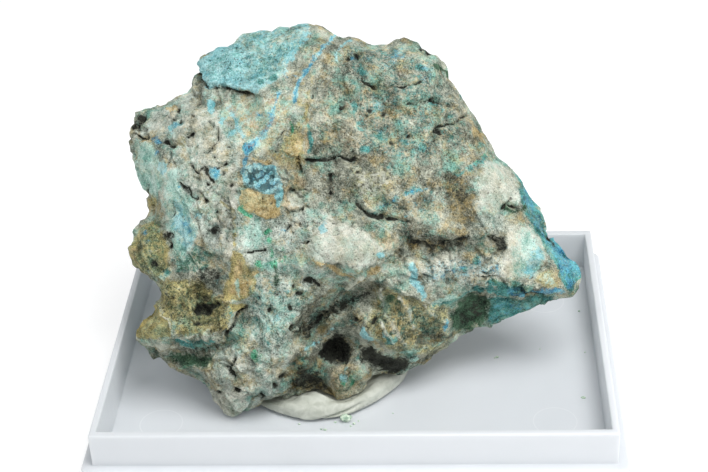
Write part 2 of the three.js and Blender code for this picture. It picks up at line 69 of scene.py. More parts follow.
def linear(colour: str) -> tuple[float, float, float, float]:
    """Turns an sRGB hex colour to linear light.

    Args:
        colour: six hex digits after a hash.

    Returns:
        Red, green, blue and an alpha of 1.
    """
    shares = [int(colour[i:i + 2], 16) / 255 for i in (1, 3, 5)]
    lit = [s / 12.92 if s <= 0.04045 else ((s + 0.055) / 1.055) ** 2.4 for s in shares]
    return (*lit, 1.0)


def add_node(
    tree: bpy.types.NodeTree,
    kind: str,
    settings: dict | None = None,
    links: dict | None = None,
) -> bpy.types.Node:
    """Adds one shader node with its settings and links.

    Args:
        tree: the node tree it goes into.
        kind: its Blender type name.
        settings: values by socket name or number, or by the node's own lower-case property.
        links: source sockets by input name or number.

    Returns:
        The new node.
    """
    made = tree.nodes.new(kind)
    for name, value in (settings or {}).items():
        if isinstance(name, str) and name[0].islower():
            setattr(made, name, value)
        else:
            made.inputs[name].default_value = value
    for name, source in (links or {}).items():
        tree.links.new(source, made.inputs[name])
    return made


def new_material(name: str) -> tuple[bpy.types.Material, bpy.types.NodeTree, bpy.types.Node]:
    """Makes a material.

    Args:
        name: the real material and how its surface was made.

    Returns:
        The material, its node tree and its Principled shader.
    """
    material = bpy.data.materials.new(name)
    material.use_nodes = True
    return material, material.node_tree, material.node_tree.nodes["Principled BSDF"]


def object_millimetres(tree: bpy.types.NodeTree) -> bpy.types.NodeSocket:
    """Reads the piece's own coordinates.

    Args:
        tree: the material's node tree.

    Returns:
        A socket with them, in millimetres.
    """
    coordinates = add_node(tree, "ShaderNodeTexCoord").outputs["Object"]
    scale = {"operation": "SCALE", "Scale": 1 / MM}
    return add_node(tree, "ShaderNodeVectorMath", scale, {0: coordinates}).outputs[0]


def copy_of(node: str) -> bmesh.types.BMesh:
    """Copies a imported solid's mesh with its doubled corners merged.

    Args:
        node: the solid's name.

    Returns:
        A bmesh in metres, whose faces share their corners.
    """
    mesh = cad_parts[node].data.copy()
    if "custom_normal" in mesh.attributes:
        mesh.attributes.remove(mesh.attributes["custom_normal"])
    shape = bmesh.new()
    shape.from_mesh(mesh)
    bpy.data.meshes.remove(mesh)
    bmesh.ops.remove_doubles(shape, verts=shape.verts, dist=0.001 * MM)
    return shape


def view_turn(size: int) -> Matrix:
    """Turns the photograph's axes to the box's.

    Args:
        size: how many rows the matrix has, 3 or 4.

    Returns:
        The turn as a square matrix.
    """
    turned = Matrix.Identity(size)
    for degrees, axis in VIEW_TURNS:
        turned = turned @ Matrix.Rotation(math.radians(degrees), size, axis)
    return turned


def subdivide(shape: bmesh.types.BMesh, times: int, smoothing: float) -> None:
    """Halves every edge some times, and evens the new points out after each.

    Args:
        shape: the mesh that is refined.
        times: how often it is refined.
        smoothing: how far a point moves toward its neighbours, from 0 to 1.
    """
    for _ in range(times):
        bmesh.ops.subdivide_edges(shape, edges=shape.edges[:], cuts=1, use_grid_fill=True)
        bmesh.ops.smooth_vert(
            shape, verts=shape.verts, factor=smoothing,
            use_axis_x=True, use_axis_y=True, use_axis_z=True,
        )


def points_of(mesh: bpy.types.Mesh, what: str) -> np.ndarray:
    """Reads a vector of each vertex.

    Args:
        mesh: the mesh.
        what: which vector, "co" or "normal".

    Returns:
        One row for each vertex.
    """
    flat = np.empty(3 * len(mesh.vertices), np.float32)
    mesh.vertices.foreach_get(what, flat)
    return flat.reshape(-1, 3).astype(float)


def finish_piece(
    shape: bmesh.types.BMesh,
    name: str,
    material: bpy.types.Material,
    replaced: str | None = None,
) -> bpy.types.Object:
    """Turns a bmesh into a smooth-shaded piece that rides on the body.

    Args:
        shape: the piece's mesh, in place.
        name: the piece's name.
        material: its finish.
        replaced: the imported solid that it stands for, if any.

    Returns:
        The new object.
    """
    mesh = bpy.data.meshes.new(name)
    shape.to_mesh(mesh)
    shape.free()
    mesh.materials.clear()
    mesh.materials.append(material)
    mesh.polygons.foreach_set("use_smooth", [True] * len(mesh.polygons))
    piece = bpy.data.objects.new(name, mesh)
    bpy.context.scene.collection.objects.link(piece)
    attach(piece, BODY)
    if replaced:
        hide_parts(replaced)
    return piece


def push_out(piece: bpy.types.Object, heights: np.ndarray, low: Vector, high: Vector) -> None:
    """Moves each vertex of a piece along its normal, but not out of its solid's box.

    Args:
        piece: the piece.
        heights: how far each vertex moves, in millimetres.
        low: the lowest corner of the box.
        high: the highest corner of the box.
    """
    mesh = piece.data
    moved = points_of(mesh, "co") / MM + points_of(mesh, "normal") * heights[:, None]
    moved = np.clip(moved, np.array(low) / MM, np.array(high) / MM)
    mesh.vertices.foreach_set("co", (moved * MM).astype(np.float32).ravel())
    mesh.update()


class Noise:
    """Repeatable noise at points in millimetres, worked out from a hash of grid cells."""

    @staticmethod
    def share(cells: np.ndarray, seed: int) -> np.ndarray:
        """Gives each cell a share from 0 to 1.

        Args:
            cells: rows of three whole numbers.
            seed: the number that makes these shares their own.

        Returns:
            One share for each row.
        """
        whole = cells.astype(np.int64).astype(np.uint64) & np.uint64(0xFFFFFFFF)
        primes = np.array([73856093, 19349663, 83492791], np.uint64)
        mixed = np.bitwise_xor.reduce(whole * primes, axis=-1) ^ np.uint64(seed * 2654435761)
        mixed &= np.uint64(0xFFFFFFFF)
        for _ in range(2):
            mixed ^= mixed >> np.uint64(16)
            mixed = (mixed * np.uint64(73244475)) & np.uint64(0xFFFFFFFF)
        mixed ^= mixed >> np.uint64(16)
        return mixed.astype(float) / 0xFFFFFFFF

    @classmethod
    def waves(cls, points: np.ndarray, size: float, seed: int, octaves: int = 3) -> np.ndarray:
        """Gives soft lumps of a size, with finer ones on them, from about -1 to 1.

        Args:
            points: rows of three millimetre values.
            size: the width of the largest lumps, in millimetres.
            seed: the number that makes this noise its own.
            octaves: how many sizes there are, each half of the last.

        Returns:
            One value for each point.
        """
        total = np.zeros(len(points))
        height = 1.0
        for octave in range(octaves):
            scaled = points * (2 ** octave / size)
            cell = np.floor(scaled)
            part = scaled - cell
            part = part * part * (3 - 2 * part)
            for corner in np.ndindex(2, 2, 2):
                weight = np.prod(np.where(corner, part, 1 - part), axis=1)
                total += height * weight * (2 * cls.share(cell + corner, seed + octave) - 1)
            height *= 0.5
        return total

    @classmethod
    def cells(
        cls, points: np.ndarray, size: float, seed: int
    ) -> tuple[np.ndarray, np.ndarray, np.ndarray]:
        """Splits space into grains, each with a tilted flat on it.

        Args:
            points: rows of three millimetre values.
            size: the width of a grain, in millimetres.
            seed: the number that makes these grains their own.

        Returns:
            The distance to the grain's middle and how much farther the next middle is, in
            grain widths, and the flat's height from about -1 to 1.
        """
        scaled = points / size
        cell = np.floor(scaled)
        nearest = np.full(len(points), 9.0)
        second = np.full(len(points), 9.0)
        tilt = np.zeros(len(points))
        for step in np.ndindex(3, 3, 3):
            near = cell + step - 1
            middle = near + np.stack([cls.share(near, seed + k) for k in (1, 2, 3)], axis=1)
            offset = scaled - middle
            lean = np.stack([cls.share(near, seed + k) - 0.5 for k in (4, 5, 6)], axis=1)
            distance = np.linalg.norm(offset, axis=1)
            closer = distance < nearest
            second = np.where(closer, nearest, np.minimum(second, distance))
            nearest[closer] = distance[closer]
            tilt[closer] = 2 * np.sum(offset * lean, axis=1)[closer]
        return nearest, second - nearest, tilt


class Mineral(Enum):
    """Minerals and stains on the rock, in the order in which they lie over each other. Black is also
    painted shade in cracks, pits and hollows, brown also painted shade under the lobes and the ledge, and
    the pale line also painted highlight along ridges and the ledge's rim.
    """

    PALE = "pale_clay"
    BEIGE = "beige_clay"
    YELLOW = "yellow_clay"
    BROWN = "brown_stain_and_painted_shade"
    OCHRE = "iron_ochre"
    TAN = "tan_block"
    CREAM = "cream_clay"
    MINT = "mint_crust"
    TURQUOISE = "turquoise_crust"
    TEAL = "teal_stain"
    BLUE = "blue_vein"
    MALACHITE = "malachite"
    DARK_GREEN = "dark_green"
    BLACK = "black_manganese_and_painted_shade"
    LINE = "pale_vein_and_ridge_highlight"


class Speckle(Enum):
    """Loose grains of another colour, the botryoidal crust and painted shade in the seams, by how thickly
    they lie.
    """

    DARK = "dark_grains"
    FLECK = "turquoise_flecks"
    RUST = "rust_grains"
    SEAM_SHADE = "painted_seam_shade"
    GRAPES = "botryoidal_crust"


@dataclass(frozen=True)
class Tone:
    """The light and dark colours of a mineral, and how ragged and how soft its edge is."""

    light: str
    dark: str
    ragged: float = 1.1
    soft: float = 0.08


ROCK_TONE = Tone("#d9dcc9", "#646e61")
TONES = {
    Mineral.PALE: Tone("#e6eee2", "#84978a", 1.5, 0.22),
    Mineral.BEIGE: Tone("#ece0c0", "#9d8f6e", 1.4, 0.22),
    Mineral.YELLOW: Tone("#e9e4ac", "#8f8c60", 1.7, 0.25),
    # Brown stain, and painted shade under the lobes, the ledge and the rock's lower edge.
    Mineral.BROWN: Tone("#898873", "#2a2f26", 1.8, 0.25),
    Mineral.OCHRE: Tone("#d6c98a", "#66643e", 1.4, 0.15),
    Mineral.TAN: Tone("#e6d19f", "#988453", 1.2, 0.12),
    Mineral.CREAM: Tone("#eeefe2", "#b5b9a5", 1.2, 0.12),
    Mineral.MINT: Tone("#def5ea", "#82b8a8", 1.5, 0.18),
    Mineral.TURQUOISE: Tone("#c4f1f2", "#6cb6be", 1.5, 0.1),
    Mineral.TEAL: Tone("#6fc0ba", "#245a54", 1.6, 0.18),
    Mineral.BLUE: Tone("#74cfe6", "#10608a", 2.0, 0.16),
    Mineral.MALACHITE: Tone("#81d9b1", "#1a6a47", 1.5, 0.12),
    Mineral.DARK_GREEN: Tone("#5a7e62", "#112417", 1.7, 0.2),
    # Black manganese, and painted shade in cracks, pits and hollows.
    Mineral.BLACK: Tone("#45483f", "#040504", 1.5, 0.14),
    # Pale veins, and painted highlight along ridges and the ledge's rim.
    Mineral.LINE: Tone("#e3e6d6", "#b0b49f", 1.2, 0.15),
}
DARK_GRAIN = Tone("#44473d", "#10120e")
FLECK = Tone("#7cd2da", "#2f8799")
RUST = Tone("#caa489", "#8f6f58")
SALT = Tone("#f2f4ea", "#c5cbbb")
GREEN_STAIN = Tone("#8fd9c8", "#3f9082")
WARM_STAIN = Tone("#dabf7c", "#84703c")
DARK_STAIN = Tone("#7f897b", "#31372e")
STAIN_STRENGTH = {Mineral.BROWN: 0.6, Mineral.BLUE: 0.35}
# Colour of the painted shade along the seams between the rock's chips.
SEAM_SHADE = "#1d201a"
# Colour of the painted shade between the grapes of the botryoidal crust.
GRAPE_SHADE_COLOUR = "#263a3a"


@dataclass
class MineralMap:
    """How much of each mineral lies at each point of the rock, and what is broken out there.

    Places are as seen in front of the rock, in millimetres right and up of its middle.
    """

    points: np.ndarray
    seen: np.ndarray
    shown: np.ndarray
    amounts: dict = field(default_factory=dict)
    hollow: np.ndarray = field(init=False)
    lift: np.ndarray = field(init=False)
    calm: np.ndarray = field(init=False)
    fray: np.ndarray = field(init=False)
    fray_size: float = 1.5
    least_gap: float = 0.1

    def __post_init__(self) -> None:
        """Starts with bare rock, with no hollow in it and none of it worn smooth."""
        count = len(self.points)
        for kind in (*Mineral, *Speckle):
            self.amounts[kind] = np.zeros(count)
        self.hollow = np.zeros(count)
        self.lift = np.zeros(count)
        self.calm = np.zeros(count)
        self.fray = Noise.waves(self.points, self.fray_size, 131, 2)

    def gap_to(self, path: Sequence[Place], closed: bool) -> np.ndarray:
        """Gives how far each point is from a path, less than zero inside a closed one.

        Args:
            path: the path's corners.
            closed: whether it runs back to its first corner and has an inside.

        Returns:
            One distance in millimetres for each point.
        """
        corners = np.array(path, float)
        ends = np.roll(corners, -1, axis=0)
        if not closed:
            corners, ends = corners[:-1], ends[:-1]
        x, y = self.seen.T
        gap = np.full(len(x), FAR)
        inside = np.zeros(len(x), bool)
        for (ax, ay), (bx, by) in zip(corners, ends):
            run, rise = bx - ax, by - ay
            share = ((x - ax) * run + (y - ay) * rise) / (run * run + rise * rise)
            share = np.clip(share, 0, 1)
            gap = np.minimum(gap, np.hypot(x - ax - share * run, y - ay - share * rise))
            if closed and ay != by:
                crosses = (ay > y) != (by > y)
                inside ^= crosses & (x < ax + (y - ay) * run / rise)
        return np.where(inside, -gap, gap)

    def gap_to_spot(self, x: float, y: float) -> np.ndarray:
        """Gives how far each point is from a place, in millimetres."""
        return np.hypot(self.seen[:, 0] - x, self.seen[:, 1] - y)

    def lay(self, kind: Enum, gap: np.ndarray, edge: float, amount: float = 1.0) -> None:
        """Lays a mineral where a gap is under zero, thinning out over an edge."""
        share = amount * np.clip(0.5 - gap / (2 * edge), 0, 1) * self.shown
        self.amounts[kind] = np.maximum(self.amounts[kind], share)

    def patch(
        self, kind: Enum, corners: Sequence[Place], edge: float = 0.8, amount: float = 1.0
    ) -> None:
        """Lays a mineral over an area given by its corners."""
        self.lay(kind, self.gap_to(corners, True), edge, amount)

    def patches(self, kind: Enum, *areas: tuple) -> None:
        """Lays a mineral over areas, each with its corners, edge and amount."""
        for corners, *sizes in areas:
            self.patch(kind, corners, *sizes)

    def coats(self, corners: Sequence[Place], *coats: tuple) -> None:
        """Lays minerals over one area.

        Args:
            corners: the area's corners.
            coats: each mineral with its edge and amount.
        """
        gap = self.gap_to(corners, True)
        for kind, *sizes in coats:
            self.lay(kind, gap, *sizes)

    def band(
        self, kind: Enum, path: Sequence[Place], half_width: float, edge: float = 0.45,
        amount: float = 1.0,
    ) -> None:
        """Lays a mineral along a path."""
        uneven = half_width * np.clip(1 + 0.9 * self.fray, 0.15, 2.2)
        self.lay(kind, self.gap_to(path, False) - uneven, edge, amount)

    def bands(self, kind: Enum, *bands: tuple) -> None:
        """Lays a mineral along paths, each with its half width, edge and amount."""
        for path, *sizes in bands:
            self.band(kind, path, *sizes)

    def spots(self, kind: Enum, spots: Sequence[Spot], edge: float = 0.4) -> None:
        """Lays round spots of a mineral.

        Args:
            kind: the mineral.
            spots: each spot's place and radius.
            edge: how far its edge thins out, in millimetres.
        """
        for x, y, radius in spots:
            gap = self.gap_to_spot(x, y) - radius * (1 + self.fray)
            self.lay(kind, gap, edge, 0.9)

    def crack(self, path: Sequence[Place], half_width: float = 0.22, depth: float = 0.5) -> None:
        """Opens a crack: a dip in the rock, painted black as the shade in it.

        Args:
            path: the crack's corners.
            half_width: half its width, in millimetres, before it frays.
            depth: how deep it is, in millimetres.
        """
        width = (self.least_gap + 0.55 * half_width) * np.clip(1 + 0.7 * self.fray, 0.3, 1.8)
        gap = self.gap_to(path, False) - width
        self.lay(Mineral.BLACK, gap, 0.34, 0.92)
        self.hollow += depth * np.clip(0.6 - gap / 0.5, 0, 1) * self.shown

    def cracks(self, *cracks: tuple) -> None:
        """Opens dark cracks, each with its path, half width and depth."""
        for path, *sizes in cracks:
            self.crack(path, *sizes)

    def pits(self, spots: Sequence[Spot], depth: float = 0.7) -> None:
        """Breaks pits out of the rock: dips painted black as the shade in them.

        Args:
            spots: each pit's place and radius.
            depth: how deep they are, in millimetres.
        """
        for x, y, radius in spots:
            gap = self.gap_to_spot(x, y) - self.least_gap - radius * (0.9 + 0.5 * self.fray)
            self.lay(Mineral.BLACK, gap, 0.35 + 0.8 * radius, 1.0)
            self.hollow += depth * np.clip(0.5 - gap / 0.8, 0, 1) * self.shown

    def step(self, corners: Sequence[Place], height: float, edge: float = 0.35) -> None:
        """Raises a crust or block over an area, or lowers it where the height is negative."""
        self.lift += height * np.clip(0.5 - self.gap_to(corners, True) / edge, 0, 1) * self.shown

    def ridge(self, path: Sequence[Place], half_width: float, height: float) -> None:
        """Raises a sharp ridge along a path."""
        uneven = height * np.clip(1 + 0.8 * self.fray, 0.2, 2)
        self.lift += uneven * np.clip(1 - self.gap_to(path, False) / half_width, 0, 1) * self.shown

    def smooth(self, corners: Sequence[Place], amount: float = 0.6) -> None:
        """Keeps an area calmer than the broken rock round it."""
        share = amount * np.clip(0.5 - self.gap_to(corners, True) / 2, 0, 1) * self.shown
        self.calm = np.maximum(self.calm, share)


class SeenFace(MineralMap):
    """The face of the rock that is seen, region by region."""

    def paint(self) -> None:
        """Paints every region, from the groundmass to the veins."""
        self.groundmass()
        self.turquoise_top()
        self.broad_face()
        self.broad_face_marks()
        self.left_shoulder()
        self.veined_face()
        self.blocks_and_grapes()
        self.middle()
        self.left_edge()
        self.olive_ledge()
        self.slope_and_foot()
        self.cream_lobe()
        self.shelf()
        self.right_lobe()
        self.under_right_lobe()
        self.lower_right()
        self.hollows()
        self.blue_veins()

    def groundmass(self) -> None:
        """Grains strewn over all of the seen face."""
        self.amounts[Speckle.DARK] = 0.17 * self.shown
        self.amounts[Speckle.FLECK] = 0.05 * self.shown
        self.amounts[Speckle.RUST] = 0.05 * self.shown

    def turquoise_top(self) -> None:
        """Smooth dusty turquoise crust over the upper left corner."""
        crust = [
            (-24.3, 25.5), (-21, 28), (-17, 30.2), (-12, 31.5), (-5.5, 33), (-6.5, 31), (-8.5, 28),
            (-9.5, 26), (-10.3, 24), (-11, 23), (-13.5, 21.5), (-15, 20.8), (-17, 21.3), (-20, 21.9),
            (-22.8, 21.7),
        ]
        clean = [
            (-24.3, 25.5), (-21, 28), (-18.4, 28.3), (-15.5, 27), (-14.2, 25.3), (-13.8, 22.4),
            (-15, 20.8), (-17, 21.3), (-20, 21.9), (-22.8, 21.7),
        ]
        self.coats(
            crust, (Mineral.PALE, 0.5), (Mineral.BEIGE, 0.5, 0.55), (Mineral.MINT, 0.5, 0.56),
            (Mineral.TURQUOISE, 0.5, 0.52), (Mineral.TEAL, 1.5, 0.44), (Speckle.DARK, 1.5, 0.24),
        )
        self.coats(
            clean, (Mineral.TURQUOISE, 0.9, 1.0), (Mineral.MINT, 1.2, 0.46), (Mineral.TEAL, 1.2, 0.42),
        )
        self.step(crust, 0.4, 0.25)
        self.smooth(crust, 0.7)
        self.spots(Mineral.TEAL, [
            (-13, 25, 0.5), (-12.2, 23.6, 0.7), (-11.3, 24.6, 0.5), (-14.3, 22.6, 0.4),
        ])
        self.patches(
            Mineral.TEAL, ([(-15, 27), (-10, 26), (-11, 22.5), (-15, 22)], 2.0, 0.52),
            ([(-18, 29.6), (-12, 31), (-9, 28), (-12, 26.4)], 2.0, 0.44),
        )
        self.patch(Speckle.RUST, [(-14, 30.5), (-7, 31.8), (-9, 28), (-13, 28)], 2.0, 0.3)
        self.patch(Mineral.BEIGE, [(-13.5, 30.8), (-7.5, 32.2), (-9.5, 29.2), (-13, 28.6)], 1.5, 0.42)
        self.patch(Mineral.MINT, [(-19, 29), (-11, 30.5), (-9.5, 26.5), (-13, 27), (-18, 27)], 1.5, 0.46)
        self.cracks(
            ([(-22.4, 21.8), (-19.5, 21.7), (-17.5, 21), (-16, 20.7)], 0.12, 0.4),
            ([(-24.5, 25), (-23.9, 23.6), (-22.8, 22)], 0.5, 0.5),
        )
        self.spots(Mineral.BLACK, [
            (-21.4, 24.9, 0.1), (-20.6, 24.7, 0.1), (-18.3, 27.7, 0.25), (-16.9, 26.2, 0.12),
            (-15.6, 23.8, 0.1), (-14.2, 25.9, 0.12), (-13.4, 24.1, 0.14), (-12.2, 25.2, 0.1),
            (-19.2, 23.3, 0.1), (-14.8, 28.4, 0.12),
        ], 0.3)
        self.band(Mineral.TURQUOISE, [(-7, 30.5), (-9.6, 26.5), (-11, 23.5)], 1.2, 1.2, 0.56)
        self.patch(Speckle.DARK, [(-16, 26), (-10, 26), (-11, 22), (-16, 21.5)], 2, 0.22)

    def broad_face(self) -> None:
        """Granular grey-brown and beige rock with turquoise in it."""
        self.patches(
            Mineral.BEIGE,
            ([
                (-5, 24), (2, 25), (13, 23), (15, 19), (8, 12), (6, 9), (-2, 9.5), (-6, 12), (-6.5, 20),
            ], 3.0, 0.43),
            ([(6.5, 4), (12.5, 4.8), (16.5, 1.5), (12, 1)], 1.5, 0.5),
        )
        self.smooth([(-6, 30), (10, 29), (17, 20), (22, 11), (18, 0), (6, -1), (-6, 3), (-7, 20)], 0.45)
        yellow = [(-0.5, 9.5), (6, 9.5), (7, 6), (4.5, 3.8), (0, 4.2)]
        self.coats(
            yellow, (Mineral.PALE, 1.5, 0.7), (Mineral.YELLOW, 1.5, 0.62), (Mineral.CREAM, 2.0, 0.54),
        )
        self.patches(
            Mineral.BROWN,
            ([(-6, 30), (10, 29), (17, 20), (22, 11), (18, 0), (6, 4), (-6, 3)], 2.0, 0.46),
            ([(-6.4, 15.3), (-0.5, 15), (1, 12.5), (-0.5, 10.8), (-6.4, 10.4)], 0.9, 0.6),
            ([(-6.2, 9.5), (-0.8, 9.5), (0, 5.5), (-2, 3.2), (-5.5, 4.5)], 1.4, 0.54),
            ([(0, 17.5), (3, 16.8), (3.2, 13.5), (0.5, 12.5)], 1.2, 0.5),
            ([(12.5, 18.5), (15.5, 17.5), (17, 14), (14.5, 10), (12.8, 12)], 1.6, 0.5),
            ([(-5.5, 27.5), (-2.6, 27), (-3, 24), (-5.6, 24.3)], 1.2, 0.52),
            ([(4, 27.5), (9, 29), (10, 25), (6, 24)], 2.0, 0.42),
            ([(15, 19), (21, 16), (22.3, 11.6), (16, 9.5)], 1.4, 0.6),
            ([(3.5, 2.4), (10, 1.6), (15, -0.5), (19, 0.8), (18, -4.3), (9, -4.6), (7, 0)], 1, 0.6),
        )
        self.patches(
            Mineral.TEAL, ([(-2, 30), (10, 29), (17, 20), (20, 12), (8, 8), (0, 12)], 2.0, 0.4),
            ([(4, 28.5), (11, 29.2), (12, 26.5), (5, 25.5)], 1.6, 0.46),
        )
        grey = [(14.2, 9), (16.6, 8.6), (19.4, 5.4), (19.6, 1), (18, -0.6), (15.8, 2.6), (14, 5.5)]
        self.coats(grey, (Mineral.BROWN, 1.2, 1.0), (Mineral.BLACK, 1.8, 0.47))
        self.patches(
            Mineral.TURQUOISE, ([(0.5, 21), (3.5, 21.5), (6, 19.5), (6.5, 16.5), (3.5, 17)], 1.4, 0.46),
            ([(8.5, 26.6), (13.6, 26), (13.4, 23.4), (9.5, 23.6)], 1.4, 0.5),
        )
        self.patches(
            Mineral.PALE, ([(10, 21.8), (16.2, 22), (16.8, 19.8), (10, 19.8)], 1.2, 0.5),
            ([(-6.5, 24), (0, 24.5), (0.5, 21), (-5.5, 20.5)], 2, 0.42),
        )
        self.patches(
            Speckle.FLECK, ([(-2, 30), (14, 27), (16, 19), (12, 10), (2, 9), (1, 20)], 2, 0.16),
            ([(5, 5), (12.5, 6), (17, 2), (8, 0)], 1.5, 0.22),
        )
        self.patches(
            Speckle.RUST, ([(-6, 31), (14, 27), (22, 12), (14, 3), (-6, 3)], 2, 0.11),
            ([(-7, 31), (-2, 31.5), (1, 30), (-5, 28)], 1.5, 0.24),
        )
        self.patch(Speckle.DARK, [(-6, 31), (14, 27), (22, 12), (18, 3), (8, 0), (-6, 3)], 2, 0.27)

    def broad_face_marks(self) -> None:
        """Notches, cracks, pits and thin veins of the broad face."""
        self.cracks(
            ([(1.9, 23.2), (2.4, 22.3), (3.4, 21.7)], 0.18, 0.5),
            ([(8.6, 18.9), (11.6, 19.4), (13.5, 19.6), (15.6, 19.4)], 0.32, 0.8),
            ([(18.2, 17.6), (16, 16.5), (14.3, 15.9), (13.1, 14.9)], 0.16),
            ([(-7, 10.2), (-3.5, 10.3), (-2.5, 10.9), (0.3, 10.7)], 0.32),
            ([(-3.4, 7.6), (-3.4, 5)], 0.2, 0.4), ([(5.4, 22.3), (9, 22.2), (11, 22.7)], 0.08, 0.3),
            ([(-5.8, 22.6), (-6.2, 20.4)], 0.1, 0.3), ([(1.2, 3.4), (2.6, 2.2), (4.8, 1.3)], 0.55, 0.6),
            ([(5.5, 1), (9, 0.2)], 0.2, 0.4), ([(26.3, 2.8), (24.7, 3.1), (24, 2.4)], 0.12, 0.3),
            ([(24.7, 3.1), (25.3, 4.4)], 0.1, 0.3),
        )
        self.pits([
            (4.8, 17.8, 0.4), (2.7, 18.3, 0.28), (2.5, 17.4, 0.2), (2.7, 16.3, 0.22), (5.2, 8.9, 0.3),
            (1.1, 8.5, 0.25), (6.3, 13.2, 0.25), (9.2, 14, 0.2), (-0.5, 26.4, 0.3), (1, 26.8, 0.28),
            (11.3, 28, 0.35), (12.1, 27.4, 0.4), (13.8, 14.6, 0.3), (13.2, 13.4, 0.3), (-1.5, 19, 0.2),
        ], 0.4)
        self.bands(
            Mineral.DARK_GREEN, ([(13.4, 25.4), (14.6, 24.6), (15.4, 23.6)], 0.5),
            ([(24.5, 2.7), (25.4, 2.1), (27.5, 2.7)], 0.3),
        )
        self.bands(
            Mineral.LINE, ([(-6.8, 17.8), (-3.4, 16.6), (0, 14.3), (2, 13)], 0.07, 0.3, 0.9),
            ([(8.5, 18), (10.5, 15.2)], 0.16, 0.3, 0.8),
            ([
                (-7.5, 9), (-6.8, 6), (-5.5, 4.3), (-3.5, 3), (-1, 2.2), (1.5, 1.2), (4, 0),
            ], 0.16, 0.5, 0.66),
            ([(4, 0), (7.5, -2)], 0.15, 0.3, 0.8),
        )
        self.band(Mineral.BEIGE, [(10.5, 3.8), (12.8, 3), (16, -0.8)], 0.2, 0.4, 0.7)
        self.band(Mineral.MALACHITE, [(22.4, 11.5), (20.5, 10.9), (19.5, 10)], 0.2, 0.5, 0.75)
        self.bands(
            Mineral.TEAL, ([(22, 11), (19.8, 10), (18, 8.7), (16.4, 7.8)], 0.3, 0.6, 0.8),
            ([(3.5, 1.7), (5, 2.6), (7, 4), (9, 5.2), (11, 5.8), (12.5, 5.2)], 0.45, 0.9, 0.8),
        )
        self.band(Mineral.BLUE, [(5.2, 3), (7.5, 4.4), (10, 5.6), (12, 5.7)], 0.25, 0.8, 0.7)
        self.spots(Mineral.TEAL, [
            (1.5, 24.5, 0.6), (4.5, 14.6, 0.6), (4.8, 13.6, 0.5), (2.2, 12, 0.5), (8.5, 13, 0.5),
            (11.5, 12.3, 0.8), (6, 9.3, 0.3), (3.8, 18.6, 0.7), (1, 18.2, 0.7), (11, 24.7, 0.7),
            (17.7, 20.6, 0.6), (12.6, 19, 0.6), (0.8, 15.8, 0.6),
        ], 0.9)
        for area in (
            [(5.7, 28), (8.4, 28.5), (8.6, 25), (5.8, 24.8)],
            [(10.2, 25.2), (13.8, 24.8), (13.6, 22.6), (10.4, 22.6)],
            [(0.4, 27.6), (2.6, 27.4), (2.4, 25.6), (0.6, 25.8)],
            [(3.4, 15.9), (5.8, 15.8), (5.6, 13.6), (3.6, 13.8)],
            [(1.8, 19.6), (5.8, 19.4), (5.8, 17.2), (2, 17.4)],
            [(10.4, 13.2), (13, 13.2), (12.8, 11.4), (10.6, 11.6)],
        ):
            self.patch(Mineral.TEAL, area, 1.5, 0.5)
            self.patch(Mineral.BLUE, area, 1.5, 0.44)
        self.patches(
            Mineral.BLACK, ([(21.5, -0.8), (24.8, -1.2), (24.6, -4), (22.5, -5.2)], 0.9, 0.62),
            ([(8.2, -0.6), (19, -0.4), (19.4, -4), (12.5, -6), (9.5, -4.8)], 2.5, 0.54),
        )
        self.bands(
            Mineral.BLACK,
            ([(8.6, -1.8), (9.8, -3.2), (12, -2.8), (15, -2.4), (18.2, -2.2)], 0.5, 1.6, 0.8),
            ([(14.8, 8.4), (15.6, 6.6), (16, 5)], 0.5, 0.9, 0.6),
        )

    def left_shoulder(self) -> None:
        """Pale grey-green rock with black pits, left of the veins."""
        pale = [
            (-33, 18), (-28, 20.5), (-24.5, 21.5), (-19, 20), (-18, 9.5), (-17.5, 3), (-17, -4),
            (-20, -8), (-24, -1), (-27, 5), (-30, 13), (-34.5, 14),
        ]
        self.coats(
            pale, (Mineral.PALE, 0.9), (Mineral.CREAM, 2.5, 0.5), (Speckle.DARK, 1, 0.13),
            (Speckle.FLECK, 1, 0.07),
        )
        self.patch(Mineral.BEIGE, [(-27, 19.5), (-24, 20.5), (-20, 18), (-24, 15), (-28, 15)], 2, 0.44)
        self.pits([
            (-23.3, 3.9, 0.5), (-22, -1, 0.6), (-21.5, 2, 0.25), (-28.2, 16.8, 0.25), (-27, 16.4, 0.25),
            (-27.6, 18.1, 0.35), (-34, 15.6, 0.9), (-33.2, 16.6, 0.6), (-19.6, 12.8, 0.15),
            (-21.9, 11, 0.15), (-24.4, 7.3, 0.3), (-25.8, 5.6, 0.3), (-20.4, 8.3, 0.25),
            (-22.8, 6.9, 0.2), (-18.9, 6.1, 0.2), (-25.5, 17.5, 0.2), (-24.2, 19.6, 0.25),
        ], 0.6)
        self.cracks(
            ([(-29.5, 13.5), (-29, 12.7), (-28.5, 12.3)], 0.3, 0.7),
            ([(-26, 14), (-25.3, 14.6)], 0.25, 0.5),
            ([(-21.4, 15), (-21.1, 13.8), (-21.8, 12.8), (-22.9, 11.8)], 0.25, 0.6),
            ([(-22.5, 16.4), (-22.1, 15.4)], 0.14, 0.4),
            ([(-25.8, 9.3), (-24.6, 8.2), (-23.6, 9.3), (-22.8, 8.3), (-21.7, 7)], 0.15, 0.4),
            ([(-27.4, 6.6), (-26.2, 5.2), (-24.8, 4.6)], 0.15, 0.4),
            ([(-21.4, 9), (-20.2, 9.8)], 0.15, 0.4),
            ([(-34.5, 14.3), (-33.4, 13.5), (-32.3, 13.6)], 0.3, 0.4),
            ([(-29.3, 9.6), (-28.6, 11.3)], 0.1, 0.3),
        )
        self.spots(Mineral.TAN, [(-28.4, 18.2, 0.7), (-29.3, 18.3, 0.4)], 0.6)
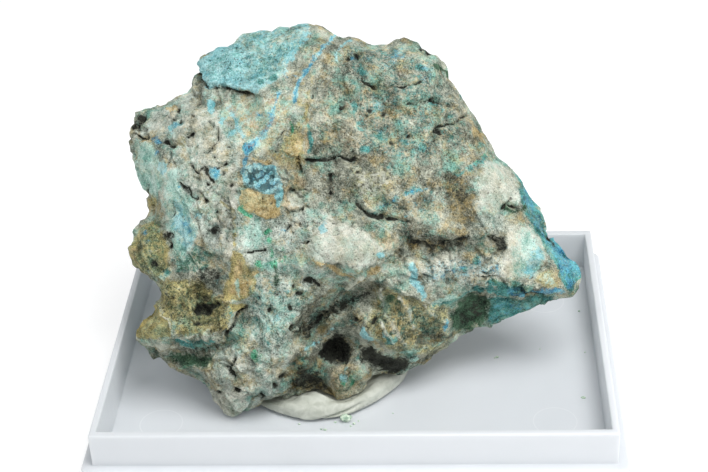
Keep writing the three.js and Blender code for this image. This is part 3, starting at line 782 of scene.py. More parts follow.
        self.bands(
            Mineral.OCHRE, ([(-26.9, 13.5), (-26.6, 11)], 0.5, 0.6, 0.85),
            ([(-22.5, 5.2), (-21, 3.8), (-19.3, 2.3), (-18.6, 0), (-18.5, -3)], 0.45, 0.7, 0.8),
        )
        self.bands(
            Mineral.CREAM, ([(-19.3, 9), (-19.2, 5), (-19.4, 3.5)], 0.8, 0.7, 0.8),
            ([(-19.2, 0), (-19.2, -3), (-20, -6)], 0.5, 0.6, 0.8),
        )
        self.spots(Mineral.BLUE, [
            (-30.8, 13.2, 0.5), (-30.5, 11.5, 0.45), (-21.5, 8.7, 0.45), (-28, 15.8, 0.35),
        ], 0.9)
        self.spots(Mineral.TURQUOISE, [
            (-20.5, 16.2, 0.8), (-22.5, 19.2, 0.7), (-29.8, 9.2, 0.8), (-28, 15.6, 0.9),
            (-21.6, 8.5, 0.8), (-22.2, 18.4, 0.5), (-24.5, 1.4, 0.5), (-19.4, 14.6, 0.9),
        ], 0.7)

    def veined_face(self) -> None:
        """Beige and pinkish face under the crust, and the mustard streaks beside it."""
        face = [
            (-22, 20.8), (-19, 20.6), (-15.5, 20.2), (-12, 20.8), (-9, 21.5), (-8.5, 17), (-12, 12.5),
            (-15, 10.8), (-17.5, 12), (-18.8, 15.5), (-20.5, 18),
        ]
        self.coats(
            face, (Mineral.PALE, 0.8), (Mineral.BEIGE, 1.5, 0.62), (Mineral.TAN, 2.0, 0.52),
            (Mineral.YELLOW, 1.5, 0.44), (Mineral.MINT, 1.5, 0.5), (Speckle.RUST, 1, 0.3),
            (Speckle.DARK, 1, 0.1),
        )
        self.smooth(face, 0.4)
        self.patch(Mineral.TAN, [(-15, 21), (-11, 21.3), (-10, 18.8), (-13.8, 18.7)], 1.2, 0.56)
        self.patch(Mineral.OCHRE, [(-11.5, 21.5), (-7, 24.5), (-6.2, 18), (-9, 17)], 1.5, 0.45)
        streaks = [(-13.2, 11), (-10.5, 14.8), (-8.5, 17), (-7, 16), (-6.9, 9.2), (-8.5, 8.2), (-10.8, 9)]
        self.coats(streaks, (Mineral.OCHRE, 1.2, 0.58), (Mineral.TAN, 1.5, 0.5))
        self.band(Mineral.OCHRE, [(-6.5, 24), (-7.2, 17)], 0.35, 0.6, 0.7)
        self.band(Mineral.BEIGE, [(-7.2, 16.5), (-7.4, 9.5)], 0.3, 0.5, 0.9)
        self.bands(
            Mineral.TEAL, ([(-6.7, 15.5), (-6.5, 11.5)], 0.28, 0.4, 0.9),
            ([(-9.4, 12), (-9.8, 9.8), (-11, 11.5)], 0.25, 0.6, 0.62),
        )
        self.band(Mineral.MALACHITE, [(-9.5, 16.8), (-9.2, 15), (-9.8, 13)], 0.3, 0.6, 0.75)
        self.cracks(
            ([(-10.7, 15.4), (-11.2, 14.6), (-12, 13.6)], 0.14, 0.3),
            ([(-8.5, 11), (-8.4, 9.3)], 0.16, 0.4),
        )
        self.band(Mineral.TURQUOISE, [(-19.5, 18.6), (-18.2, 16.6), (-17.4, 14.4)], 0.45, 0.7, 0.75)
        self.patch(Mineral.TURQUOISE, [(-17, 18), (-13.5, 18.4), (-13.5, 16.8), (-16.8, 16.4)], 1, 0.47)

    def blocks_and_grapes(self) -> None:
        """Botryoidal turquoise patch, and the tan and beige blocks round it."""
        tan = [(-17.8, 5.3), (-12.5, 5.2), (-11, 4.6), (-10.9, 1.5), (-13.5, 0.8), (-16, 2), (-17.8, 3.3)]
        self.patch(Mineral.TAN, tan, 0.35)
        self.step(tan, 0.5, 0.25)
        self.cracks(
            ([(-14.2, 5.4), (-13.9, 3.6), (-13.4, 2.9)], 0.1, 0.35),
            ([(-13.4, 3.4), (-11.2, 4.2)], 0.08, 0.3),
            ([(-15.5, 2.2), (-14.3, 2.6), (-12.8, 2.3)], 0.08, 0.3),
        )
        block = [(-10.7, 5.4), (-10, 7.6), (-7.8, 8.2), (-7.5, 2.8), (-9.5, 2.4), (-10.7, 3.2)]
        self.patch(Mineral.BEIGE, block, 0.4)
        self.patch(Mineral.CREAM, [(-10.6, 5.4), (-7.8, 5.6), (-7.6, 2.8), (-9.6, 2.6)], 0.7, 0.85)
        self.step(block, 0.5, 0.25)
        self.cracks(
            ([(-10, 5.6), (-8.6, 5.6), (-7.4, 5.9)], 0.13, 0.4),
            ([(-9.8, 2.3), (-8.4, 2.4), (-7.5, 2.9)], 0.12, 0.4),
        )
        self.patch(Mineral.BROWN, [(-10, 7.2), (-7.9, 7.5), (-7.8, 5.9), (-9.6, 6)], 0.7, 0.48)
        grapes = [
            (-17.8, 9.3), (-15, 9.6), (-12, 9.3), (-11.3, 7.4), (-11.3, 5.3), (-14.5, 5.4), (-17.2, 5.7),
        ]
        self.coats(
            grapes, (Mineral.BLUE, 0.5, 0.44), (Mineral.TURQUOISE, 0.5, 0.9), (Mineral.TAN, 0.8, 0.42),
            (Mineral.CREAM, 0.8, 0.4), (Speckle.GRAPES, 0.8),
        )
        self.patch(Mineral.TAN, [(-17, 11), (-12.6, 10.8), (-12.4, 8.6), (-15.5, 9.2)], 0.8, 0.55)
        self.band(Mineral.TURQUOISE, [(-11.8, 7), (-11.4, 5), (-11.3, 3.4)], 0.45, 0.4, 0.9)
        self.patch(Speckle.GRAPES, [(-17, 10.5), (-14, 10.4), (-14, 9), (-17, 9)], 0.8, 0.6)
        self.step(grapes, 0.25)

    def middle(self) -> None:
        """Pale middle of the rock, with malachite and a grey-green facet."""
        pale = [
            (-17.8, 2.5), (-16, 1.5), (-11, 1), (-8, 2.2), (-6, 2.5), (-3, 1.5), (-7.5, -2), (-8, -5),
            (-9, -8), (-12, -8), (-15, -7), (-17.5, -4),
        ]
        self.coats(pale, (Mineral.PALE, 1.0), (Speckle.FLECK, 1, 0.1), (Speckle.DARK, 1, 0.2))
        self.patch(Mineral.BEIGE, [(-11, 1.5), (-3.5, 1.8), (-5, -0.5), (-10, -2)], 1.5, 0.5)
        facet = [(-17.5, 0.2), (-14.5, 0.8), (-13.6, -1.5), (-14, -3.7), (-17.3, -4.2)]
        self.patch(Mineral.MINT, facet, 1.0, 0.6)
        self.smooth(facet)
        self.bands(
            Mineral.MALACHITE, ([(-17.8, 2.8), (-17, 1.9), (-16.2, 1.3)], 0.35, 0.5, 0.95),
            ([(-13.6, -0.8), (-13.1, -3), (-12.6, -5.2), (-12.4, -6.4)], 0.25, 0.6, 0.66),
            ([(-15.3, -5.8), (-13.5, -6.3), (-11, -5.8)], 0.25, 0.6, 0.68),
        )
        self.spots(Mineral.MALACHITE, [
            (-13.5, -1.2, 0.6), (-12.3, -6.2, 0.6), (-10.2, -4.8, 0.45), (-13.2, -2.6, 0.4),
            (-11, -3.6, 0.4), (-14.8, -6, 0.5), (-12.8, -5, 0.3),
        ], 0.8)
        self.band(Mineral.DARK_GREEN, [(-12.2, -6.6), (-11.6, -8), (-12, -9.5)], 0.4, 0.7, 0.75)
        self.patch(Mineral.TEAL, [(-15.5, -5), (-10.5, -4.5), (-10, -8), (-14.5, -8)], 1.2, 0.45)
        self.cracks(
            ([(-16.9, -4.3), (-15.4, -4.1), (-13.9, -3.9)], 0.15, 0.4),
            ([(-10.9, -1.6), (-10.6, -0.6), (-9.8, 0.2)], 0.12, 0.35),
            ([(-8.3, -3), (-7, -2.8)], 0.1, 0.3),
        )
        self.spots(Mineral.BLUE, [(-10.7, -0.7, 0.3), (-7.5, 0.5, 0.35)], 0.7)
        self.patch(Speckle.DARK, [(-13, 1), (-4, 1.6), (-4.6, -0.6), (-9, -1), (-13, -1)], 1.2, 0.4)

    def left_edge(self) -> None:
        """Mint-green left edge, pale turquoise stripe and dark green facet."""
        self.patch(Mineral.MINT, [
            (-35, 13.3), (-31, 13), (-29.5, 8), (-30.5, 4.5), (-34, 5.5),
        ], 1.0, 0.85)
        self.patch(Mineral.OCHRE, [(-33, 6.8), (-30.8, 7), (-30.2, 3.5), (-32, 1.8)], 0.9, 0.62)
        stripe = [(-29.9, 8.5), (-28.1, 9), (-26, 3.5), (-24.3, -1.5), (-27, -5), (-29, -2.5), (-29.7, 3)]
        self.coats(
            stripe, (Mineral.CREAM, 1.0, 1.0), (Mineral.MINT, 1.2, 0.9), (Mineral.CREAM, 1.6, 0.48),
            (Speckle.DARK, 1, 0.08),
        )
        self.patch(Mineral.TURQUOISE, [
            (-28.8, 5.5), (-26.6, 4), (-24.3, -1.8), (-26.8, -4.6), (-28.8, -1),
        ], 1.6, 0.66)
        self.spots(Mineral.BLUE, [(-26.4, 0.4, 0.25), (-27.6, 6, 0.25), (-25.6, -0.9, 0.2)], 0.7)
        self.smooth(stripe, 0.4)
        facet = [(-28, -5.3), (-25, -2.4), (-22.5, -5.6), (-21.5, -7.4), (-28.5, -8)]
        self.coats(facet, (Mineral.TEAL, 0.7, 0.5), (Mineral.DARK_GREEN, 1.2, 0.5))
        olive = [
            (-33, 0.8), (-30, 0.6), (-28.6, -4), (-28.3, -7), (-31, -8.7), (-35.6, -6.5), (-35.4, -3),
        ]
        self.coats(olive, (Mineral.OCHRE, 0.8, 0.62), (Mineral.DARK_GREEN, 1.2, 0.46))
        self.patch(Mineral.TAN, [(-35.5, -3.5), (-33.8, -3.2), (-32.2, -8), (-34.8, -6.8)], 0.8, 0.55)
        self.patch(Mineral.MALACHITE, [(-32.5, 0.5), (-30.4, 2.5), (-30, -1), (-31, -3)], 1.2, 0.5)
        self.band(Mineral.TEAL, [(-28.2, -5.5), (-30.2, -8.2)], 0.4, 0.6, 0.7)
        self.spots(Mineral.BLUE, [(-33, -1, 0.4), (-32.5, -2.8, 0.4)], 0.7)
        self.pits([(-29.2, -1.7, 0.6), (-31.5, -6.4, 0.45), (-28.8, -3.2, 0.3)], 0.5)
        self.cracks(
            ([(-28.6, 3.6), (-28.3, 2), (-29, 0.2)], 0.18, 0.3), ([(-32.2, 6.6), (-32.8, 4.8)], 0.2, 0.3),
        )

    def olive_ledge(self) -> None:
        """Ochre ledge at the lower left, and the dark green rock under it."""
        ledge = [
            (-31, -8.3), (-24, -8), (-21.5, -10.8), (-18.5, -12), (-19.5, -17.5), (-28, -18),
            (-28.5, -16), (-31, -12.5),
        ]
        self.coats(
            ledge, (Mineral.OCHRE, 0.8, 0.58), (Mineral.DARK_GREEN, 2, 0.45), (Mineral.BROWN, 2, 0.6),
            (Mineral.BLACK, 3, 0.36), (Speckle.DARK, 1, 0.3),
        )
        self.patch(Mineral.TEAL, [(-21.5, -12.5), (-19, -13), (-19.5, -16), (-21.5, -15.5)], 1.5, 0.5)
        # The lower of these brown patches, under the ledge's rim, is painted shade.
        self.patches(
            Mineral.BROWN,
            ([(-30.5, -8.5), (-24, -8.3), (-22, -10.5), (-26, -11.5), (-30, -11)], 1.6, 0.47),
            ([(-30, -19.4), (-21.5, -19), (-20.6, -20.6), (-24, -21), (-29.5, -21)], 1.2, 0.6),
        )
        self.patch(Mineral.BEIGE, [(-26.5, -15), (-20.5, -14), (-19.8, -17.3), (-26, -17.5)], 1.6, 0.5)
        nub = [(-34.5, -17), (-33.8, -14.8), (-30.7, -12.3), (-28.4, -16), (-28.3, -18), (-33.5, -18)]
        self.patch(Mineral.OCHRE, nub, 0.5, 1.0)
        # Pale lines along the ridges and the ledge's rim: painted highlight where the edges catch the
        # light.
        self.bands(
            Mineral.LINE, ([(-30.7, -12.5), (-29.6, -14.6), (-28.2, -17)], 0.12, 0.3, 0.85),
            ([(-20.5, -12.1), (-18.4, -12.2), (-16.3, -11.2)], 0.16, 0.3, 0.8),
            ([(-34.3, -17.8), (-33, -18.8), (-30, -19.3), (-27, -19.3)], 0.3, 0.5, 0.8),
            ([(-28, -17.9), (-22, -17.7), (-20.4, -18.2)], 0.14, 0.3, 0.8),
        )
        self.ridge([(-31, -12), (-29.6, -14.6), (-28.2, -17.4)], 0.7, 0.5)
        self.ridge([(-15.6, -8), (-16, -10.6), (-19.5, -12.2), (-21.5, -11)], 0.8, 0.5)
        self.pits([(-24.3, -15.2, 0.35), (-21.6, -12.5, 0.2), (-20, -17, 0.3), (-23.2, -11.7, 0.3)], 0.8)
        self.pits([(-23.8, -12.9, 0.6), (-23, -13.4, 0.5), (-24.3, -13.6, 0.4), (-22.6, -12.8, 0.4)], 0.4)
        self.patches(
            Mineral.BLACK, ([(-24.5, -12), (-22, -12.2), (-22.4, -14.4), (-24.6, -14)], 0.9, 0.66),
            ([(-26.4, -7), (-21.5, -6), (-19.6, -8.2), (-21.2, -10.4), (-25.4, -10.2)], 1.8, 0.6),
        )
        self.patch(Speckle.FLECK, [(-23, -7.5), (-20, -8), (-20.5, -10), (-23, -10)], 0.8, 0.25)
        mustard = [
            (-19.2, -3.6), (-17.3, -4.6), (-15.3, -8), (-15.2, -10.6), (-17.5, -11.4), (-20.6, -11.9),
            (-19.4, -8),
        ]
        self.coats(mustard, (Mineral.OCHRE, 0.6, 1.0), (Mineral.TAN, 1.2, 0.62))
        self.patches(
            Mineral.OCHRE, ([(-19.5, -12.2), (-17, -12.3), (-17.4, -13.6), (-19.6, -13.8)], 0.6, 0.9),
            ([(-31.5, -20), (-29, -21.8), (-27.5, -23.8), (-31, -22.5)], 0.8, 0.6),
        )
        self.band(Mineral.MINT, [(-18, -8.6), (-17.8, -10.6)], 0.25, 0.4, 0.9)
        self.spots(Mineral.TAN, [(-15.3, -7.4, 0.4)], 0.3)
        self.crack([(-17.1, -12.6), (-17.8, -14.4), (-18.5, -16), (-20, -17.6)], 0.28, 0.5)
        self.bands(
            Mineral.TEAL, ([(-19.2, -12.9), (-18.9, -14.8), (-19.6, -16.4)], 0.4, 0.6, 0.62),
            ([(-27.8, -18.3), (-24.5, -18.9), (-22, -18.6)], 0.45, 0.5, 0.85),
        )
        # Black band under the ledge's rim: painted shade in the recess beneath it.
        self.band(Mineral.BLACK, [(-27.5, -19.7), (-24, -19.8), (-21, -19.4)], 0.35, 0.6, 0.75)
        under = [(-29, -20), (-23, -20.3), (-21, -20.8), (-23, -23.2), (-27, -22.8), (-29.5, -21.4)]
        self.patch(Mineral.DARK_GREEN, under, 0.9, 0.72)
        self.patch(Mineral.MALACHITE, [
            (-27.5, -21.8), (-24.5, -21.2), (-23.5, -22.4), (-26.8, -23.4),
        ], 0.8, 0.6)

    def slope_and_foot(self) -> None:
        """White and pale green speckled slope, and the foot that stands on the putty."""
        slope = [
            (-17.5, -8.5), (-14, -8.3), (-9, -8.5), (-5, -9.5), (-6, -11.5), (-9.5, -16.5),
            (-10.2, -19.5), (-12.5, -20.8), (-16.5, -19.5), (-17, -15),
        ]
        self.coats(
            slope, (Mineral.PALE, 0.8), (Mineral.BROWN, 1.5, 0.42), (Mineral.TEAL, 1.5, 0.4),
            (Speckle.DARK, 1, 0.24), (Speckle.FLECK, 1, 0.15),
        )
        self.patches(
            Mineral.MINT, ([(-16.5, -9.5), (-8, -11), (-10, -18.5), (-15.5, -18)], 1.8, 0.5),
            ([(-17.5, -19.8), (-10.5, -20.5), (-11, -23.5), (-15.5, -23)], 1.6, 0.52),
        )
        self.patch(Mineral.TURQUOISE, [
            (-13.5, -13.5), (-9.8, -13), (-10.4, -16), (-13, -15.8),
        ], 1.2, 0.52)
        self.patches(
            Mineral.BROWN, ([(-17.8, -13.5), (-15.8, -13.8), (-16, -18.8), (-18.6, -18)], 1, 0.56),
            ([(-9.5, -9.4), (-6, -10), (-6, -12.6), (-8.5, -12.5)], 1.4, 0.5),
            ([(-11.8, -23.6), (-9, -22.5), (-9.2, -26), (-12.5, -27)], 1.2, 0.54),
        )
        self.pits([
            (-7.2, -9.1, 0.55), (-9.3, -9.6, 0.4), (-8.3, -11, 0.35), (-13.4, -13.6, 0.3),
            (-9.6, -13.2, 0.3), (-15, -11.8, 0.2), (-9.3, -16.2, 0.35), (-12, -11, 0.2),
        ], 0.6)
        self.crack([(-7.2, -9), (-6.3, -9), (-5.4, -9.7)], 0.22, 0.4)
        foot = [
            (-21.5, -19), (-16, -18.8), (-10, -19.8), (-9.5, -22.5), (-11, -26.8), (-15, -28.8),
            (-19, -30.8), (-23.5, -25.8), (-24.8, -22.6), (-22.2, -21.3),
        ]
        self.coats(
            foot, (Mineral.PALE, 0.8), (Speckle.DARK, 1, 0.18), (Speckle.RUST, 1, 0.1),
            (Mineral.CREAM, 2.5, 0.46),
        )
        self.patch(Mineral.BEIGE, [
            (-24, -22.5), (-20.5, -25), (-17, -29.5), (-20.5, -30.5), (-24, -26),
        ], 1.5, 0.55)
        self.patch(Mineral.CREAM, [
            (-22.5, -26), (-16.5, -26.8), (-17.5, -31.5), (-21.5, -31.2),
        ], 0.9, 1.0)
        self.patch(Mineral.YELLOW, [
            (-22.6, -21.3), (-20.8, -21.6), (-21.4, -23.4), (-23.2, -22.9),
        ], 0.9, 0.55)
        self.spots(Mineral.MALACHITE, [(-16, -20.8, 0.6), (-14.6, -20.4, 0.4), (-15.3, -21.6, 0.3)], 1.0)
        self.crack([(-20, -22.3), (-19.2, -23.4), (-18.4, -24.3)], 0.55, 0.9)
        self.pits([
            (-18.7, -21.2, 0.4), (-18.4, -26.6, 0.45), (-10.7, -24.2, 0.5), (-19.4, -21.8, 0.25),
            (-12, -25.6, 0.4), (-14, -27.6, 0.3), (-21.2, -26.5, 0.25),
        ], 0.6)

    def cream_lobe(self) -> None:
        """Cream lobe that stands out over the dark hollow, and the one on the right edge."""
        lobe = [
            (-7, -2), (-5, 0), (-3, 1.6), (-1.8, 0.6), (0, -0.6), (3, -1.6), (5, -3.8), (3.6, -6),
            (1, -7.4), (-3, -6.1), (-7.2, -5.2), (-7.9, -4),
        ]
        self.coats(lobe, (Mineral.CREAM, 0.8), (Speckle.DARK, 1, 0.1))
        self.smooth(lobe, 0.3)
        self.patch(Speckle.RUST, [(-6, -4), (0, -4.5), (1, -7), (-3, -6)], 1, 0.12)
        self.patch(Mineral.BEIGE, [(1, -1.2), (7, -1.2), (8, -3.6), (5, -5.2), (3, -2.6)], 1, 0.6)
        self.patch(Mineral.YELLOW, [(3.5, -0.6), (7, -1.4), (6.4, -3)], 1, 0.45)
        self.patches(
            Mineral.MINT, ([(3.2, -4.8), (5.6, -3.6), (6.4, -5), (4.6, -6.4)], 0.8, 0.55),
            ([(-6.4, -7.4), (-2.4, -8.4), (-3.6, -9.4), (-6, -8.8)], 1, 0.55),
        )
        self.spots(Mineral.TURQUOISE, [(-4.5, -0.5, 0.5), (-3.8, 0.2, 0.35), (4.6, -5.2, 0.4)], 0.7)
        self.cracks(
            ([(-2.6, -1.3), (-1.5, -1.4)], 0.15, 0.3), ([(-3.3, 0.4), (-2.2, 0.3)], 0.12, 0.3),
        )
        self.band(Mineral.TAN, [(-6, -5.9), (-3, -6.6), (-1.6, -7.6), (-0.4, -8.2)], 0.3, 0.5, 0.85)
        self.band(Mineral.BROWN, [(-7.4, -5.9), (-4.6, -6.7), (-1.6, -8.6)], 0.35, 0.7, 0.72)
        self.patches(
            Mineral.PALE, ([(-8.5, -5.8), (-4, -7), (-0.5, -8.8), (-4, -9.8), (-8, -8.6)], 1, 0.8),
            ([(20, 2.5), (24, 1.6), (24.5, -1.2), (20.5, -1), (18.4, 0.6)], 1.2, 0.7),
        )
        right = [
            (20.5, 9.8), (23.3, 10.2), (25.6, 8.4), (26.4, 7), (27, 5.2), (27.2, 4), (25.6, 3.2),
            (24.5, 2.9), (23, 1), (20.3, 2.3), (19.5, 4), (19.2, 6.5), (19.6, 8.6),
        ]
        self.coats(right, (Mineral.PALE, 0.6), (Mineral.CREAM, 1.2, 0.62), (Speckle.DARK, 1, 0.12))
        self.smooth(right, 0.5)
        self.patch(Mineral.BROWN, [(16.8, 5), (19.4, 5.4), (19.4, 1.5), (17.6, 0.2), (16, 2.6)], 1, 0.55)

    def shelf(self) -> None:
        """Grey-white shelf under the dark step, and the ground beside the cream lobe."""
        shelf = [
            (9.8, -5), (12, -4.6), (16, -4.6), (20, -4.4), (24, -4.8), (24.6, -7.2), (21, -9.2),
            (17, -9.6), (11.5, -9.6),
        ]
        self.coats(
            shelf, (Mineral.PALE, 0.9, 1.0), (Mineral.CREAM, 1.5, 0.5), (Mineral.TURQUOISE, 1.5, 0.42),
            (Mineral.BLUE, 1.5, 0.34), (Speckle.DARK, 1, 0.24), (Speckle.FLECK, 1, 0.2),
        )
        self.spots(Mineral.TEAL, [(18, -7, 0.4), (16.5, -6.8, 0.4), (20, -5.3, 0.5)], 0.8)
        self.spots(Mineral.BLUE, [(17.6, -6.6, 0.3), (16.2, -7.2, 0.25)], 0.6)
        self.patches(
            Mineral.CREAM, ([(12.6, -5.4), (15, -4.2), (18, -5), (17.2, -7.3), (13.6, -7.4)], 0.6, 1.0),
            ([(9.4, -5.6), (11, -5.4), (12.8, -7.2), (11, -8.2)], 0.8, 0.62),
            ([(4, -6), (9.6, -5.8), (9.6, -8.9), (5.6, -9.2)], 1.2, 0.9),
        )
        self.patches(
            Mineral.BROWN, ([(12, -8), (20, -7.6), (22.8, -8), (19.8, -9.8), (12.5, -9.8)], 1.2, 0.52),
            ([(0.6, -8.8), (5, -9.2), (8, -11), (3, -11.4), (0, -10.4)], 0.9, 0.6),
        )
        self.patch(Mineral.MINT, [(4, -6), (9.6, -5.8), (9.6, -8.9), (5.6, -9.2)], 1.2, 0.6)
        self.patch(Mineral.YELLOW, [(4, -6.3), (9.2, -6.2), (9.4, -8.9), (6, -9)], 0.9, 0.52)
        self.patch(Mineral.BEIGE, [(5.4, -5.4), (10.4, -5.2), (9.6, -7.4), (6, -7.4)], 0.9, 0.7)
        self.patch(Mineral.TAN, [(2.2, -7), (4.8, -6.6), (5.4, -7.8), (2.4, -8)], 0.7, 0.8)
        self.band(Mineral.TURQUOISE, [(9.3, -6.5), (9.8, -9), (11.5, -11)], 0.45, 0.6, 0.85)
        self.band(Mineral.BLUE, [(9.8, -9.4), (11.2, -10.8)], 0.2, 0.6, 0.6)
        # Pale line on the ridge's crest: painted highlight.
        self.band(Mineral.LINE, [(-0.5, -9.5), (1, -8.1), (5, -8.5), (9.5, -10.8)], 0.2, 0.4, 0.9)
        self.ridge([(-0.5, -9.5), (1, -8.1), (5, -8.5), (9.5, -10.8), (12, -12)], 0.8, 0.6)

    def right_lobe(self) -> None:
        """Mint lobe on the right, with its bright blue rim."""
        lobe = [
            (24.6, 0), (28.8, -0.6), (30.4, -3), (31.2, -5), (29.5, -6.5), (28.8, -8.7), (25.5, -8.4),
            (23.2, -8.2), (24.4, -3),
        ]
        self.coats(lobe, (Mineral.CREAM, 0.8), (Speckle.DARK, 1, 0.12))
        self.patch(Mineral.MINT, [
            (26.4, 0.4), (28.8, -0.6), (31.2, -5), (29, -8.7), (25.2, -8.6),
        ], 2.4, 0.8)
        self.smooth(lobe, 0.6)
        self.patch(Mineral.TURQUOISE, [
            (28.8, -2.6), (31.4, -4.6), (29.3, -6.8), (28.4, -9), (26.8, -7.2),
        ], 1.8, 0.8)
        tan = [(29.2, -7), (31.8, -6.5), (33.3, -9.2), (33, -10.3), (30, -10.3), (28.4, -9.3)]
        self.coats(tan, (Mineral.BEIGE, 0.6, 0.6), (Mineral.OCHRE, 0.9, 0.66), (Mineral.MINT, 1.2, 0.5))
        self.crack([(28.4, -8.8), (28.9, -7.4), (30.6, -6.5)], 0.06, 0.2)
        rim = [
            (25.5, 8.4), (27.6, 6.6), (28.8, 4.4), (30.2, 1), (31.2, -1), (34.4, -3.8), (36.8, -6.4),
            (36.6, -8), (34.6, -10.9), (33.2, -8.4), (31.6, -5), (29.4, -1.2), (27.9, 1.6), (26.8, 3.4),
            (26.6, 5.6),
        ]
        self.coats(rim, (Mineral.TEAL, 0.5), (Mineral.BLUE, 0.8, 0.55))
        self.smooth(rim, 0.3)
        self.bands(
            Mineral.DARK_GREEN, ([(28.4, 3), (30, -0.4), (32.2, -3.2)], 0.3, 0.6, 0.66),
            ([(20.2, -8.6), (22, -8.3), (23.5, -9.3), (26, -9.7), (28.5, -9.9)], 0.4, 0.8, 0.7),
        )
        self.cracks(
            ([(31.2, -2), (31.9, -2.9)], 0.2, 0.3), ([(27.2, 2.6), (28.2, 0.8)], 0.12, 0.3),
        )
        self.band(Mineral.LINE, [(33.6, -3.1), (36.2, -5.8), (36.7, -7.8), (35.4, -10)], 0.14, 0.3, 0.85)
        self.band(Mineral.TEAL, [(19.6, -9), (22, -9), (24, -9.8), (28, -10.2)], 0.6, 0.9, 0.85)
        self.band(Mineral.TURQUOISE, [(22, -9.6), (25, -10), (29, -10.4)], 0.3, 0.9, 0.6)

    def under_right_lobe(self) -> None:
        """Teal and dark green rock under the right lobe."""
        self.band(Mineral.BLUE, [(25, -10.5), (30, -11), (33.4, -10.5)], 0.42, 0.5, 0.9)
        self.bands(
            Mineral.TEAL, ([(19.5, -10.2), (23, -10.5), (27, -10.6)], 0.5, 0.6, 1.0),
            ([(13, -13), (15.4, -12.3), (18, -10.7)], 0.5, 0.7, 0.7),
        )
        self.band(Mineral.TAN, [(23, -11.1), (27, -11.3), (29.6, -11.9)], 0.16, 0.4, 0.8)
        self.crack([(27.4, -10.9), (28.6, -11.2), (30, -11.4)], 0.2, 0.4)
        lower = [
            (21.3, -11), (27, -11.4), (32.5, -11.8), (28.6, -13.4), (25.5, -15.1), (21.4, -15.8),
            (21.6, -13),
        ]
        self.coats(lower, (Mineral.TEAL, 0.7), (Mineral.BLUE, 1.3, 0.42))
        self.patch(Mineral.BEIGE, [(27.5, -12.4), (32, -12), (28, -13.8), (25, -15)], 0.9, 0.5)
        # The hollow: dark green rock, its black painted shade under the lobe.
        hollow = [
            (16.8, -12), (18.6, -10.8), (21.8, -11.6), (21.5, -15.2), (19, -16.4), (16, -17), (15.6, -14),
        ]
        self.coats(hollow, (Mineral.DARK_GREEN, 1.5), (Mineral.BLACK, 1.6, 0.5))
        self.smooth(hollow, 0.6)
        self.band(Mineral.MINT, [(12.5, -12.6), (15, -11.8), (17.4, -10.8), (19.6, -9.9)], 0.4, 0.6, 0.8)

    def lower_right(self) -> None:
        """Greenish-beige ground of the lower right, streaked with cream."""
        ground = [
            (3.4, -9.6), (8, -10.6), (12, -11.8), (15.4, -12.4), (15.8, -15), (15.2, -19), (12, -21),
            (8, -20), (5.5, -19.4), (2, -16.5), (3, -12),
        ]
        self.coats(
            ground, (Mineral.YELLOW, 0.9, 0.66), (Mineral.PALE, 1.2, 0.55), (Mineral.OCHRE, 2.0, 0.38),
            (Mineral.BROWN, 2.0, 0.56), (Mineral.TEAL, 2.0, 0.36), (Mineral.DARK_GREEN, 2.0, 0.38),
            (Speckle.DARK, 1, 0.26),
        )
        self.bands(
            Mineral.CREAM, ([(4.5, -10.6), (5.2, -13.5), (7, -16.5), (8.4, -18.6)], 0.45, 0.8, 0.85),
            ([(8, -11.6), (9, -13.6), (9.6, -16)], 0.4, 0.7, 0.8),
            ([(11.5, -12.2), (12.6, -14), (14.6, -15.4)], 0.4, 0.7, 0.75),
        )
        for path in (
            [(4.5, -10.6), (5.2, -13.5), (7, -16.5), (8.4, -18.6)], [(8, -11.6), (9, -13.6), (9.6, -16)],
            [(11.5, -12.2), (12.6, -14), (14.6, -15.4)], [(2.4, -13), (4.6, -15.8), (6.6, -18)],
        ):
            self.ridge(path, 0.9, 0.75)
        self.spots(Mineral.DARK_GREEN, [(6.3, -11.6, 0.8), (7.4, -12.4, 0.5)], 0.8)
        self.patches(
            Mineral.BROWN, ([(10, -16.6), (13.8, -16.2), (15, -18), (13, -19.2), (9.4, -19.1)], 0.7, 1.0),
            ([(8.6, -20.6), (15.2, -19.2), (12, -21.8), (9.4, -23)], 1, 0.6),
        )
        self.patch(Mineral.BLACK, [
            (10, -16.8), (13.6, -16.6), (14.6, -18), (12, -19), (9.8, -18.8),
        ], 1.5, 0.5)
        self.patch(Mineral.OCHRE, [(9.4, -11.8), (12.4, -12.4), (12.2, -15.4), (10.4, -15)], 1.2, 0.5)
        self.spots(Mineral.BLUE, [(14.8, -16.2, 0.6), (15.1, -15.4, 0.3)], 0.7)
        self.pits([(2.5, -15.7, 0.45), (1.2, -14.8, 0.35), (0.4, -14.4, 0.3), (3.6, -15, 0.3)], 0.5)
        self.spots(Mineral.TURQUOISE, [(2.3, -17.5, 0.8), (3, -16.6, 0.5), (5, -17, 0.4)], 0.8)
        self.spots(Mineral.TEAL, [(6, -18.3, 0.8), (6.8, -17.8, 0.5)], 0.8)
        # Pale line on the ridge's crest: painted highlight.
        self.band(Mineral.LINE, [(4.6, -15.8), (6.6, -18), (8.2, -19.4)], 0.16, 0.4, 0.8)
        self.band(Mineral.MINT, [(8.6, -20.1), (11.6, -19.6), (14.6, -18.7)], 0.22, 0.4, 0.8)

    def hollows(self) -> None:
        """Hollows under the lobes, dark with painted shade, the rib between them and the bump under it.
        """
        slot = [
            (3.5, -9.7), (1, -10.3), (-2, -10.6), (-4.5, -12.8), (-8.8, -16.2), (-9.8, -18.5),
            (-7, -17.6), (-4, -15.6), (1, -12.6), (3.4, -11.5),
        ]
        # The slot's black is painted shade under the cream lobe.
        self.coats(slot, (Mineral.BLACK, 1.8, 0.74), (Mineral.TEAL, 1.8, 0.45))
